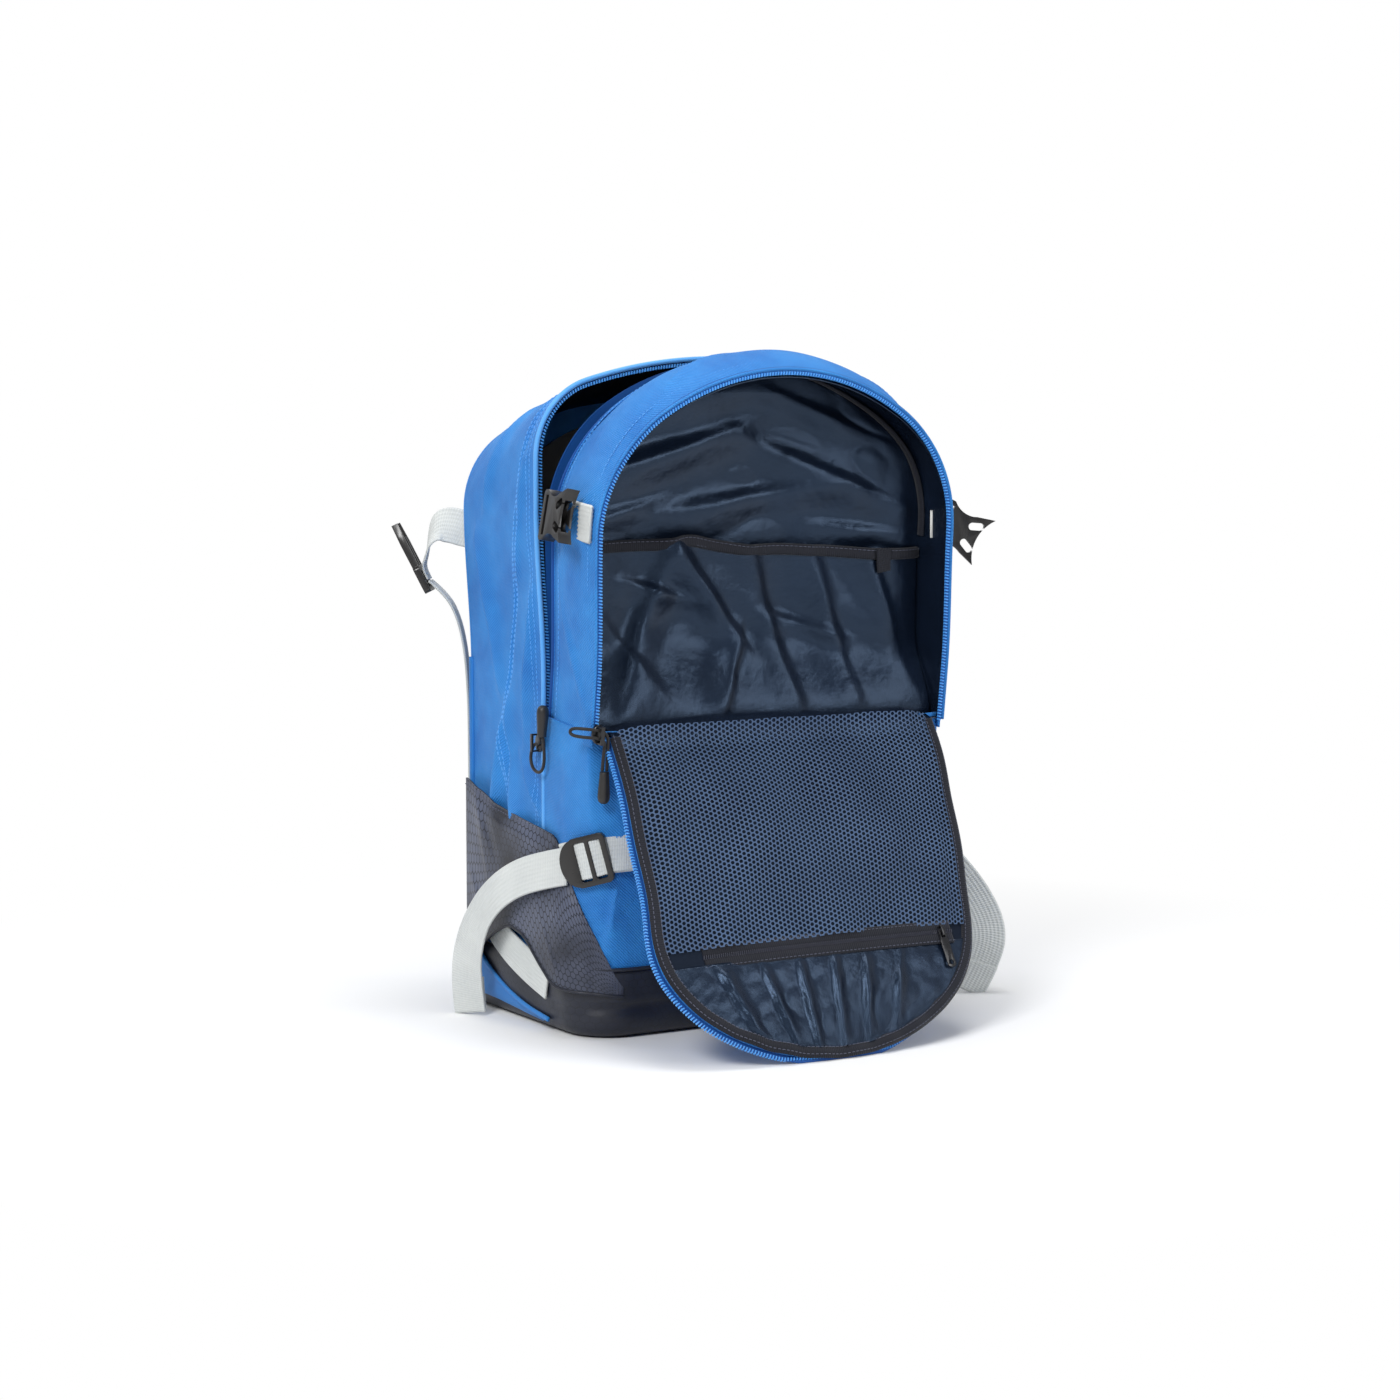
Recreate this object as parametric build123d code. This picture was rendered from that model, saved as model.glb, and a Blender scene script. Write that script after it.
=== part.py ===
from build123d import *
import math
import os

# Daypack with its front compartment opened.
# Frame: millimetres, +Z up, the front faces -Y, +X is on the right seen from the front.
# The origin lies on the floor, under the middle of the base.

# ---- pack ----
half_width = 143.0          # middle to the outside of a side wall
front_y = -95.0             # outside of the front
back_y = 80.0               # outside of the back panel
front_corner = 35.0         # upright front corners
back_corner = 14.0          # upright back corners
shell = 2.4                 # fabric with its foam and lining
gap = 0.3                   # play between pieces that nearly touch
lip_top = 447.0             # crown of the main compartment at its zip
back_top = 424.0            # crown of the main compartment at the back
back_taper = 5.0            # each side of the back panel stands inside the pack's by this
shoulder_inset = 38.0       # middle to the centre of a shoulder arc
crown_angle = 57.0          # where a shoulder arc hands over to the crown arc
tub_height = 46.0           # charcoal base
tub_edge = 9.0              # rounding under the base
foot_corner = 42.0          # lower corners of the back panel
panel = 3.0                 # back panel and dividers
tape = 1.6                  # zip tape with its coil
tape_width = 6.0

# ---- front compartment, which tilts on the line between the ends of the main zip ----
hinge_y = -36.0
hinge_z = 202.0
pod_lean = 7.0              # degrees forward as it stands
pod_opens = 10.0            # degrees further forward
pod_side_play = 2.0         # each side of the front compartment stands inside the pack's by this
pod_top = 452.0
pod_floor = 206.0           # lowest point of the compartment when it stands upright
zip_play = 1.6              # between the two halves of the main zip when shut
mouth_rim = 7.5             # outside of the compartment to its front opening
divider_inset = 2.0

# ---- front panel, folded down ----
flap_side_play = 14.0       # each side of the panel stands inside the compartment's by this
flap_length = 232.0
flap_sheet = 2.0
flap_play = 2.4             # front of the compartment to the fold line
fold_rise = 1.0             # fold line above the compartment's lowest point
flap_band = 7.5             # grosgrain binding
pocket_zip_at = 157.0       # fold line to the middle of the pocket zip
pocket_zip_left = -100.0
pocket_zip_right = 84.0
pocket_zip_height = 13.0
mesh_from = 4.0

# ---- webbing and its hardware ----
webbing = 25.0
strap = 1.4                 # thickness of one layer
tub_strap_slope = 15.0      # degrees that the lower strap falls towards the back
lower_strap_z = 121.0       # height of the lower strap at the front corner
lock_length = 34.0
lock_width = 33.0
lock_thick = 4.2
lock_play = 0.8             # corner of the pack to the lower ladder-lock
wing_off = 5.4              # side wall to the inside of the charcoal wing
wing_front = -52.0
wing_back = 72.0
wing_bottom = 30.0
wing_top_front = 100.0
wing_top_back = 157.0
buckle_length = 36.0
buckle_width = 35.0
buckle_thick = 9.0
socket_depth = 21.0
socket_height = 5.4
upper_strap_z = 329.0
tab_z = 345.0               # webbing tab on the front compartment
cord_thick = 2.2
toggle_length = 21.0
toggle_radius = 3.9

# ---- padded shoulder straps ----
strap_top_z = 384.0
strap_low_z = 196.0
strap_bow = 36.0            # how far the padded strap stands off the back
strap_half = 28.0
strap_x = 58.0
pad_thick = 9.0

# ---- fittings of the front compartment ----
organiser_drop = 126.0      # crown of the compartment to the mouth of its organiser pocket
organiser_gap = 9.0
tab_back = -46.0            # where the tab turns back round the buckle
socket_reach = {-1: 12.0, 1: 15.0}      # side of the compartment to the hinge of each side-release socket
bar_cant = {-1: -0.162, 1: 0.444}       # how far the bar leans outward, per unit height
bar_drop = {-1: 0.0, 1: 6.0}            # middle of the tab to the middle of the bar
bar_slack = {-1: 0.0, 1: 0.75}          # the tab comes closer by this: the bar's corner never meets it
bar_half = 2.0              # hinge line to the end of the socket's bar
slider_z = 209.5            # height of the front slider when the compartment stands upright
main_slider_z = 192.0
pocket_slider_x = 75.0      # the pocket zip is closed, with its slider at the right-hand end
pull_rise = 4.05            # foot of the slider to the middle of its eye

far = 600.0                 # beyond every piece, for the blocks that cut

# ---- worked out ----
back_half_width = half_width - back_taper
pod_half_width = half_width - pod_side_play
flap_half_width = pod_half_width - flap_side_play
organiser_top = pod_top - organiser_drop
pod_back = hinge_y - zip_play
fold_y = front_y - flap_play
fold_z = pod_floor + fold_rise


def beside(points):
    """Points of the left side, each given by its distance out from the side wall, its y and its z."""
    return [Vector(-half_width - out, y, z) for out, y, z in points]


view_across = Vector(0.515, 0.857, 0)       # the side-release buckle is turned edge-on to the front left
male_foot, male_tip = beside([(12.0, 108.3, 286.0), (32.4, 120.6, 332.9)])
# each cord runs from its toggle through the slider and back
front_cord_route = beside([(-10.0, -98.6, 178.4), (-10.3, -99.9, 188.6), (-11.3, -100.8, 199.4),
                    (2.2, -100.6, 200.8), (9.0, -90.6, 201.8), (9.0, -90.6, 206.6),
                    (2.2, -100.6, 206.4), (-13.5, -100.8, 203.7), (-13.5, -99.7, 190.8),
                    (-13.4, -98.6, 178.3)])
front_toggle_top, = beside([(-11.7, -98.5, 177.7)])
front_toggle_down = Vector(0.0, 0.06, -1)
main_cord_route = beside([(5.5, -43.1, 196.0), (5.3, -42.2, 193.2), (4.9, -38.6, 191.6),
                   (4.9, -34.2, 191.2), (4.9, -30.2, 188.4), (6.0, -29.4, 181.0),
                   (6.2, -33.5, 174.4), (5.4, -40.5, 172.2), (4.9, -46.0, 175.8),
                   (4.9, -47.6, 186.0), (5.5, -46.5, 196.0)])
main_toggle_top, = beside([(5.5, -44.8, 196.7)])
main_toggle_down = Vector(0.03, -0.05, 1)


# ---- helpers ----
def lean(piece):
    """Tips a piece of the upright front compartment forward to the way that it stands."""
    return piece.rotate(Axis((0, hinge_y, hinge_z), (1, 0, 0)), pod_lean)


def leaned(y, z):
    """Where a point of the upright front compartment stands, as (y, z)."""
    turn = math.radians(pod_lean)
    dy, dz = y - hinge_y, z - hinge_z
    return (hinge_y + dy * math.cos(turn) - dz * math.sin(turn),
            hinge_z + dy * math.sin(turn) + dz * math.cos(turn))


def box(x, y, z):
    """Box from three (low, high) pairs."""
    corner = Vector(x[0], y[0], z[0])
    return Pos(corner) * Box(x[1] - x[0], y[1] - y[0], z[1] - z[0], align=(Align.MIN,) * 3)


def mirrored(piece):
    return mirror(piece, about=Plane.YZ)


def arch_wire(half, top, bottom, y):
    """Arch in the plane of y: upright sides, two shoulder arcs and a crown arc."""
    turn = math.radians(crown_angle)
    shoulder = half - shoulder_inset
    crown = shoulder + shoulder_inset / math.cos(turn)
    centre_z = top - crown + (crown - shoulder) * math.sin(turn)

    def at(angle, side):
        return Vector(side * (shoulder_inset + shoulder * math.cos(angle)), y,
                      centre_z + shoulder * math.sin(angle))

    low_left, low_right = Vector(-half, y, bottom), Vector(half, y, bottom)
    return Wire([
        Edge.make_line(low_left, at(0, -1)),
        Edge.make_three_point_arc(at(0, -1), at(turn / 2, -1), at(turn, -1)),
        Edge.make_three_point_arc(at(turn, -1), Vector(0, y, top), at(turn, 1)),
        Edge.make_three_point_arc(at(turn, 1), at(turn / 2, 1), at(0, 1)),
        Edge.make_line(at(0, 1), low_right),
        Edge.make_line(low_right, low_left),
    ])


def arch_block(half, top, bottom, y):
    """Solid arch between two values of y."""
    return Part() + Solid.extrude(Face(arch_wire(half, top, bottom, y[0])), Vector(0, y[1] - y[0], 0))


def arch_band(half, top, bottom, y, width):
    """Arch with an open middle and open feet, as wide as its band."""
    inner = arch_block(half - width, top - width, bottom - 1, (y[0] - 1, y[1] + 1))
    return arch_block(half, top, bottom, y) - inner


def footprint(grow):
    """Outline of the pack from above, moved outwards by grow."""
    half, front, back = half_width + grow, front_y - grow, back_y - panel + grow
    plan = Pos(0, (front + back) / 2) * Rectangle(2 * half, back - front)
    corners = plan.vertices().sort_by(Axis.Y)
    plan = fillet(corners[:2], front_corner + grow)
    return fillet(plan.vertices().sort_by(Axis.Y)[-2:], back_corner + grow)


def skirt(inside, outside, z):
    """Upright wall that follows the footprint, between two distances from it."""
    wall = extrude(footprint(outside) - footprint(inside), z[1] - z[0])
    return Pos(0, 0, z[0]) * wall


def ribbon(centres, widths, wide, thick):
    """Closed band through centres; each width direction lies across the band there."""
    rings = []
    last = len(centres) - 1
    for index, centre in enumerate(centres):
        here = Vector(*centre)
        along = Vector(*centres[min(index + 1, last)]) - Vector(*centres[max(index - 1, 0)])
        across = Vector(*widths[index])
        across = (across - along * (across.dot(along) / along.dot(along))).normalized()
        out = along.cross(across).normalized()
        rings.append([here + across * (a * wide / 2) + out * (b * thick / 2)
                      for a, b in ((-1, -1), (1, -1), (1, 1), (-1, 1))])
    faces = [Face(Wire.make_polygon(rings[0])), Face(Wire.make_polygon(rings[-1]))]
    for ring, after in zip(rings, rings[1:]):
        for side in range(4):
            a, b = ring[side], ring[(side + 1) % 4]
            c, d = after[(side + 1) % 4], after[side]
            faces += [Face(Wire.make_polygon([a, b, c])), Face(Wire.make_polygon([a, c, d]))]
    return Part() + Solid(Shell(faces))


def cord_tube(points, name):
    """Round cord of straight runs and tangent arcs through a hand-chosen route."""
    places = [Vector(*point) for point in points]
    radii = []
    for before, here, after in zip(places, places[1:], places[2:]):
        turn = math.radians((here - before).get_angle(after - here))
        run = min((here - before).length, (after - here).length)
        radii.append(0.45 * run / math.tan(turn / 2))
    path = FilletPolyline(*places, radius=radii)
    section = Plane(origin=path @ 0, z_dir=path % 0) * Circle(cord_thick / 2)
    tube = sweep(section, path=path)
    expected = math.pi * (cord_thick / 2) ** 2 * path.length
    print(name, "radii", [round(radius, 1) for radius in radii],
          "length", round(path.length, 1), "volume share", round(tube.volume / expected, 3))
    return tube


def place(origin, along, out):
    """Plane with its x along a piece and its z out of the piece's flat face."""
    return Plane(origin=origin, x_dir=along, z_dir=out)


# ---- main compartment ----
def base_panel():
    tub = extrude(footprint(0), tub_height)
    tub = fillet(tub.faces().sort_by(Axis.Z)[0].edges(), tub_edge)
    hollow = Pos(0, 0, shell) * extrude(footprint(-shell), tub_height)
    hollow = fillet(hollow.faces().sort_by(Axis.Z)[0].edges(), tub_edge - shell)
    return tub - hollow


def lower_front_panel():
    """Front wall and its corners, cut along the slope that the front compartment tilts over."""
    wall = skirt(-shell, 0, (tub_height, hinge_z + 20))
    wall &= box((-far, far), (front_y - 5, hinge_y - gap), (0, far))
    slope = math.tan(math.radians(pod_lean + pod_opens))
    rise = (pod_floor - hinge_z - 2 * gap) / math.cos(math.radians(pod_lean + pod_opens))
    front_rise = rise - slope * (hinge_y - front_y + 10)
    cut = Plane.YZ * Polygon((hinge_y + 5, hinge_z + rise + slope * 5), (hinge_y + 5, far),
                             (front_y - 10, far), (front_y - 10, hinge_z + front_rise), align=None)
    return wall - extrude(cut, far, both=True)


def lower_divider():
    half = half_width - shell - gap
    return box((-half, half), (hinge_y - gap - panel, hinge_y - gap), (tub_height + gap, hinge_z - 2))


def gusset_loft(inset, floor):
    wires = [arch_wire(half_width - inset, lip_top - inset, floor, hinge_y),
             arch_wire(back_half_width - inset, back_top - inset, floor, back_y - panel)]
    return Part() + Solid.make_loft(wires, True)


def main_gusset():
    """Side walls and crown of the main compartment, tapering to the back panel."""
    return gusset_loft(0, tub_height) - gusset_loft(shell, tub_height - 5)


def main_zip_track():
    """Half of the main zip that is sewn inside the edge of the main compartment."""
    inset = shell + 2 * gap
    return arch_band(half_width - inset, lip_top - inset, hinge_z - 14,
                     (hinge_y, hinge_y + tape), tape_width)


def back_panel():
    plate = arch_block(back_half_width, back_top, 1.0, (back_y - panel, back_y))
    feet = plate.edges().filter_by(Axis.Y).sort_by(Axis.Z)[:2]
    return fillet(feet, foot_corner)


def frame_sheet():
    margin = 14.0
    low = tub_height + margin
    return arch_block(back_half_width - margin, back_top - margin, low,
                      (back_y - panel - gap - tape, back_y - panel - gap))


def back_pad(side):
    """One of the two upright foam pads on the back."""
    width, height, inner = 62.0, 250.0, 14.0
    pad = box((inner, inner + width), (back_y + gap, back_y + 9), (82, 82 + height))
    pad = fillet(pad.edges().filter_by(Axis.Y), 14)
    pad = fillet(pad.faces().sort_by(Axis.Y)[-1].edges(), 4)
    return pad if side > 0 else mirrored(pad)


def haul_loop():
    """Webbing handle on the crown, close to the back."""
    half, high, wide = 34.0, 21.0, 18.0
    foot_z = back_top + 1.5
    y = (back_y - 30, back_y - 30 + wide)
    outer = box((-half, half), y, (foot_z - 6, foot_z + high))
    inner = box((-half + 2.4, half - 2.4), (y[0] - 1, y[1] + 1), (foot_z - 8, foot_z + high - 2.4))
    loop = fillet(outer.edges().filter_by(Axis.Y).sort_by(Axis.Z)[-2:], 14)
    loop -= fillet(inner.edges().filter_by(Axis.Y).sort_by(Axis.Z)[-2:], 14 - 2.4)
    return loop - gusset_loft(-gap, tub_height)


# ---- shoulder straps ----


def shoulder_strap(side):
    """Padded strap, bowed away from the back between its sewn top and its lower end."""
    y0 = back_y + gap
    spine = Spline((y0, strap_top_z + 12), (y0 + strap_bow * 0.8, strap_top_z - 36),
                   (y0 + strap_bow, strap_low_z + 70), (y0 + strap_bow * 0.84, strap_low_z))
    heights = [0, 0.2, 0.4, 0.6, 0.8, 1]
    middle = [spine @ share for share in heights]
    outward = [Vector(-(spine % share).Y, (spine % share).X) for share in heights]
    outer = [point + normal * pad_thick for point, normal in zip(middle, outward)]
    profile = Plane.YZ * make_face(Polyline(*middle, *reversed(outer), close=True))
    strap_solid = Pos(strap_x - strap_half, 0, 0) * extrude(profile, 2 * strap_half)
    strap_solid -= box((0, far), (back_y - far, back_y + gap), (0, far))
    return strap_solid if side > 0 else mirrored(strap_solid)


def shoulder_end():
    """Lower end of the padded strap, as (y, z) of the middle of its thickness."""
    return back_y + gap + strap_bow * 0.84 + pad_thick / 2, strap_low_z


def shoulder_lock_plane(side):
    y, z = shoulder_end()
    return place((side * strap_x, y, z - lock_length / 2 - 1), (0, 0, -1), (0, 1, 0))


def shoulder_webbing(side):
    """Webbing from the foot of the back up to its ladder-lock."""
    y, z = shoulder_end()
    route = [(118, back_y + 2.1, 40), (113, back_y + 6, 62), (98, y - 14, 104),
             (strap_x + 9, y - 3.5, 138), (strap_x, y - 3.2, z - lock_length - 6)]
    across = [(1, 0, 0.7), (1, 0, 0.6), (1, 0, 0.5), (1, 0, 0.3), (1, 0, 0.05)]
    band = ribbon(route, across, webbing, strap)
    return band if side > 0 else mirrored(band)


# ---- lower compression straps ----
def strap_slab():
    """Slanted space between the two edges of the lower strap."""
    low = webbing / 2
    slab = box((-far, far), (-far, far), (-low, low))
    return Pos(0, front_y, lower_strap_z) * Rot(X=-tub_strap_slope) * slab


def corner_slice(first, last):
    """Wedge of the left front corner, between two angles from the front of the pack."""
    centre = Vector(-half_width + front_corner, front_y + front_corner)
    reach = 3 * front_corner
    spots = [centre + Vector(-math.sin(math.radians(a)), -math.cos(math.radians(a))) * reach
             for a in (first, (first + last) / 2, last)]
    wedge = make_face(Polyline(centre, *spots, close=True))
    return extrude(wedge, 400)


def lower_tab(side):
    """Webbing folded over the ladder-lock and sewn to the front, two layers thick."""
    wall = skirt(gap, gap + 2 * strap, (60, 190))
    centre_x = -half_width + front_corner
    piece = wall & (box((centre_x, centre_x + 4), (front_y - 9, front_y + 3), (0, far))
                    + corner_slice(0, 22))
    piece &= strap_slab()
    return piece if side < 0 else mirrored(piece)


def load_strap(side):
    """Webbing from the back seam, under the wing, round the corner to the ladder-lock."""
    wall = skirt(gap, gap + strap, (20, 190))
    centre_y = front_y + front_corner
    piece = wall & (box((-far, 0), (centre_y, wing_back - 2 - gap), (0, far))
                    + corner_slice(61, 90))
    piece &= strap_slab()
    return piece if side < 0 else mirrored(piece)


def side_wing(side):
    """Charcoal wing that stands off the side wall; the lower strap runs under it."""
    outer = wing_off + strap
    high = (wing_bottom, wing_top_back + 5)
    span = box((-far, 0), (wing_front, wing_back), (0, far))
    wing = skirt(wing_off, outer, high) & span
    seam = box((-far, 0), (wing_back - strap, wing_back), (0, far))
    edge = box((-far, 0), (wing_front, wing_front + strap), (0, far))
    wing += skirt(gap, outer, high) & seam
    wing += skirt(2 * gap + strap, outer, high) & edge
    over = Plane.YZ * Polygon((wing_front, wing_top_front), (wing_back, wing_top_back),
                              (wing_back, far), (wing_front, far), align=None)
    wing -= extrude(over, 250, both=True)
    return wing if side < 0 else mirrored(wing)


def ladder_lock():
    """Webbing adjuster, flat in the XY plane: two slots, three bars and a D-shaped lip."""
    frame = Rectangle(lock_length - 8, lock_width)
    frame = fillet(frame.vertices(), 4)
    lip = Pos((lock_length - 8) / 2 - 4) * Ellipse(12, lock_width / 2 - 0.5)
    outline = frame + lip
    slot = RectangleRounded(7.4, webbing + 1, 1.5)
    outline -= Pos(-5.4) * slot
    outline -= Pos(5.2) * slot
    return Pos(0, 0, -lock_thick / 2) * extrude(outline, lock_thick)


def lower_lock_plane(side):
    """Ladder-lock over the front corner, turned down along the strap."""
    reach = front_corner + lock_play + lock_thick / 2
    flat = math.sqrt(0.5)
    origin = Vector(-half_width + front_corner - reach * flat, front_y + front_corner - reach * flat,
                    lower_strap_z - 2)
    turn = math.radians(tub_strap_slope)
    along = Vector(-flat * math.cos(turn), flat * math.cos(turn), -math.sin(turn))
    out = Vector(-flat, -flat, 0)
    if side > 0:
        origin, along, out = [Vector(-v.X, v.Y, v.Z) for v in (origin, along, out)]
    return place(origin, along, out)


def lower_tail(side):
    """Free end of the lower strap: back along the side, then down to the floor."""
    route = beside([(1.9, -69.8, 113.6), (9.5, -50.0, 109.0), (15.0, -22.0, 100.0),
             (19.0, 2.0, 86.0), (21.5, 20.0, 68.0), (22.5, 32.0, 46.0),
             (22.0, 36.0, 24.0), (20.0, 34.0, 1.2)])
    across = [(0, 0.25, 0.97), (0, 0.3, 0.95), (0, 0.4, 0.9), (-0.05, 0.6, 0.8),
              (-0.15, 0.75, 0.62), (-0.35, 0.85, 0.4), (-0.5, 0.85, 0.1), (-0.55, 0.83, 0)]
    band = ribbon(route, across, webbing, strap)
    return band if side < 0 else mirrored(band)


# ---- upper compression straps ----


def male_plane(side):
    along = (male_tip - male_foot).normalized()
    across = (view_across - along * view_across.dot(along)).normalized()
    out = along.cross(across)
    origin = male_foot
    if side > 0:
        origin, along, out = [Vector(-v.X, v.Y, v.Z) for v in (origin, along, out)]
    return place(origin, along, out)


def male_buckle():
    """Side-release plug: ladder end, middle guide and two sprung arms; x runs to the tips."""
    length = (male_tip - male_foot).length
    thick = 4.6
    outline = Pos(10) * RectangleRounded(20, 31, 3) + Pos(30) * Rectangle(24, 4.4)
    for x in (6, 14):
        outline -= Pos(x) * RectangleRounded(4, webbing + 1, 1)
    plug = Pos(0, 0, -thick / 2) * extrude(outline, thick)
    arm = Polygon((18, 9.4), (40, 8.4), (length, 7.6), (length, 9.0), (44, 11.5), (38, 13.6),
                  (18, 12.6), align=None)
    arm = Pos(0, 0, -thick / 2) * extrude(arm, thick)
    return plug + arm + mirror(arm, about=Plane.XZ)


def upper_strap(side):
    """Webbing from the back seam, looping out and turning over to the plug."""
    plug = male_plane(-1)
    turned = male_foot + plug.x_dir * 18 - plug.z_dir * 3.9
    entry = male_foot + plug.x_dir * 8 - plug.z_dir * 3.5
    top = upper_strap_z
    route = beside([(-10.0, back_y + 1.5, top), (-3.5, back_y + 4.0, top + 1), (4.0, back_y + 10, top + 4),
                    (10.5, back_y + 18, top + 4), (14.0, back_y + 25, top - 5),
                    (14.2, back_y + 28.5, top - 17)]) + [turned, entry]
    across = [(0, 0, 1), (0, 0.05, 1), (0.05, 0.25, 0.95), (0.2, 0.6, 0.75), (0.4, 0.85, 0.4),
              (0.5, 0.86, 0.12), tuple(plug.y_dir), tuple(plug.y_dir)]
    band = ribbon(route, across, webbing, strap)
    return band if side < 0 else mirrored(band)


def upper_tail(side):
    """Free end of the upper strap, hanging behind the pack."""
    route = beside([(12.0, 108.3, 293.7), (2.0, 101.8, 284.0), (-5.0, 98.0, 268.0),
             (-9.2, 95.8, 246.0), (-11.0, 94.8, 218.0), (-11.5, 94.4, 188.0), (-11.4, 94.3, 158.0)])
    across = [tuple(view_across)] * len(route)
    band = ribbon(route, across, webbing, strap)
    return band if side < 0 else mirrored(band)


# ---- front compartment, built upright and then tipped forward ----
def pod_shell():
    return arch_band(pod_half_width, pod_top, pod_floor, (front_y + tape, pod_back - tape - gap), shell)


def pod_divider():
    inset = shell + gap
    y = pod_back - tape - gap - divider_inset
    return arch_block(pod_half_width - inset, pod_top - inset, pod_floor, (y - panel, y))


def front_zip_track():
    """Half of the front zip round the opening, with the sill that the panel folds over."""
    half, top = pod_half_width, pod_top
    outer = arch_block(half, top, pod_floor, (front_y, front_y + tape))
    sill = 5.0
    inner = arch_block(half - mouth_rim, top - mouth_rim, pod_floor + sill, (front_y - 1, front_y + tape + 1))
    return outer - inner


def pod_zip_track():
    return arch_band(pod_half_width, pod_top, pod_floor, (pod_back - tape, pod_back), tape_width)




def organiser_pocket():
    """Lining pocket on the divider, open at its top."""
    back = pod_back - tape - gap - divider_inset - panel
    half = pod_half_width - shell - 4
    z = (pod_floor + 2, organiser_top)
    bag = box((-half, half), (back - organiser_gap - strap, back - gap), z)
    return bag - box((-half + strap, half - strap), (back - organiser_gap, back), (z[0] + strap, z[1] + 1))


def organiser_front():
    return pod_back - tape - gap - divider_inset - panel - organiser_gap - strap


def organiser_binding():
    half = pod_half_width - shell - 4
    y = organiser_front() - gap
    return box((-half, half), (y - 1.0, y), (organiser_top - 8, organiser_top + 1))


def loop_tab():
    y = organiser_front() - 2 * gap - 1.0
    return box((103, 116), (y - 1.2, y), (organiser_top - 15, organiser_top))


def seam_binding():
    """Grosgrain over the seam between the divider and the side walls."""
    inset = shell + gap
    back = pod_back - tape - gap - divider_inset - panel - gap
    low = organiser_top + 4
    return arch_band(pod_half_width - inset, pod_top - inset, low, (back - 7, back), 1.2)


def care_label():
    inside = pod_half_width - shell - gap - 1.2 - gap
    back = organiser_front()
    return box((inside - 0.6, inside), (back - 4, back + 6), (organiser_top + 5, organiser_top + 17))




def pod_tab(side):
    """Webbing sewn across the side of the compartment, with a loop for the buckle."""
    x = pod_half_width + gap
    z = (tab_z - webbing / 2, tab_z + webbing / 2)
    sewn = box((x, x + 2 * strap), (front_y + 4, tab_back), z)
    bar_reach = math.hypot(bar_half, buckle_thick / 2)
    slant = math.hypot(1, bar_cant[side])
    hinge = pod_half_width + socket_reach[side]
    reach = hinge + bar_slack[side] + bar_drop[side] * bar_cant[side] - bar_reach * slant - gap
    ends = [reach + (height - tab_z) * bar_cant[side] for height in z]
    outline = Plane.XZ * Polygon((x, z[0]), (ends[0], z[0]), (ends[1], z[1]), (x, z[1]), align=None)
    loop = Pos(0, tab_back, 0) * extrude(outline, 2 * strap)
    tab = sewn + loop
    return tab if side > 0 else mirrored(tab)




def female_plane(side):
    """The left socket is folded forward with its mouth to the front left, the right one points out."""
    y, z = leaned(tab_back - strap, tab_z)
    if side < 0:
        along = Vector(-0.12, -0.993, 0).normalized()
        across = Vector(-bar_cant[side], -0.1, 0.98)
    else:
        along = Vector(0.757, -0.455, -0.469).normalized()
        across = Vector(bar_cant[side] * 0.906, -0.242, 0.883)
        z -= bar_drop[side]
    out = along.cross(across).normalized()
    return place((side * (pod_half_width + socket_reach[side]), y, z), along, out)


def female_buckle():
    """Side-release socket: bar for the webbing, waisted body, open mouth and side windows."""
    half, waist = buckle_width / 2, buckle_width / 2 - 6
    length = buckle_length
    outline = make_face(
        Polyline((-bar_half, half - 3), (0, half - 1), (5, half - 1))
        + ThreePointArc((5, half - 1), (15, waist + 0.6), (24, waist + 2.5))
        + Line((24, waist + 2.5), (length, half))
        + ThreePointArc((length, half), (length - 6, 0), (length, -half))
        + Line((length, -half), (24, -waist - 2.5))
        + ThreePointArc((24, -waist - 2.5), (15, -waist - 0.6), (5, 1 - half))
        + Polyline((5, 1 - half), (0, 1 - half), (-bar_half, 3 - half), (-bar_half, half - 3)))
    body = Pos(0, 0, -buckle_thick / 2) * extrude(outline, buckle_thick)
    body -= box((2.2, 6.2), (-webbing / 2 - 0.5, webbing / 2 + 0.5), (-20, 20))
    body -= box((length - socket_depth, length + 5), (-waist + 1.5, waist - 1.5),
                (-socket_height / 2, socket_height / 2))
    for side in (-1, 1):
        window = Pos(length - 10, side * 7.5, 0) * Rot(Z=side * 24) * SlotOverall(11, 5.4)
        body -= extrude(window, 20, both=True)
    return body


# ---- zip sliders and their cord pulls ----


def slider():
    """Zip slider, face in the XY plane, length along x, with a bridge that holds the cord."""
    plate = extrude(Ellipse(6.5, 4.6), 2.6)
    plate = chamfer(plate.faces().sort_by(Axis.Z)[-1].edges(), 0.6)
    bridge = box((-6.0, 6.0), (-1.3, 1.3), (2.0, 7.8)) - box((-4.9, 4.9), (-2, 2), (2.6, 6.6))
    return plate + bridge


def front_slider():
    lift = gap + 0.2
    spot = place((-pod_half_width + mouth_rim / 2 + 2.2, front_y - lift, slider_z), (0, 0, 1), (0, -1, 0))
    return lean(spot * slider())


def toggle(top, down):
    """Moulded drop-shaped end of a cord pull, hanging from the point top."""
    neck = cord_thick + 0.8
    outline = Line((0, 0), (neck, 0)) + Spline(
        (neck, 0), (toggle_radius, 0.62 * toggle_length), (0, toggle_length),
        tangents=((0.05, 1), (-1, 0))) + Line((0, toggle_length), (0, 0))
    drop = revolve(make_face(outline), Axis.Y)
    spot = Plane(origin=top, z_dir=down)
    return spot * Rot(X=90) * drop


def main_slider():
    x = -half_width - gap
    spot = place((x, hinge_y + 1.4, main_slider_z), (0, 0, 1), (-1, 0, 0))
    return spot * slider()


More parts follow.
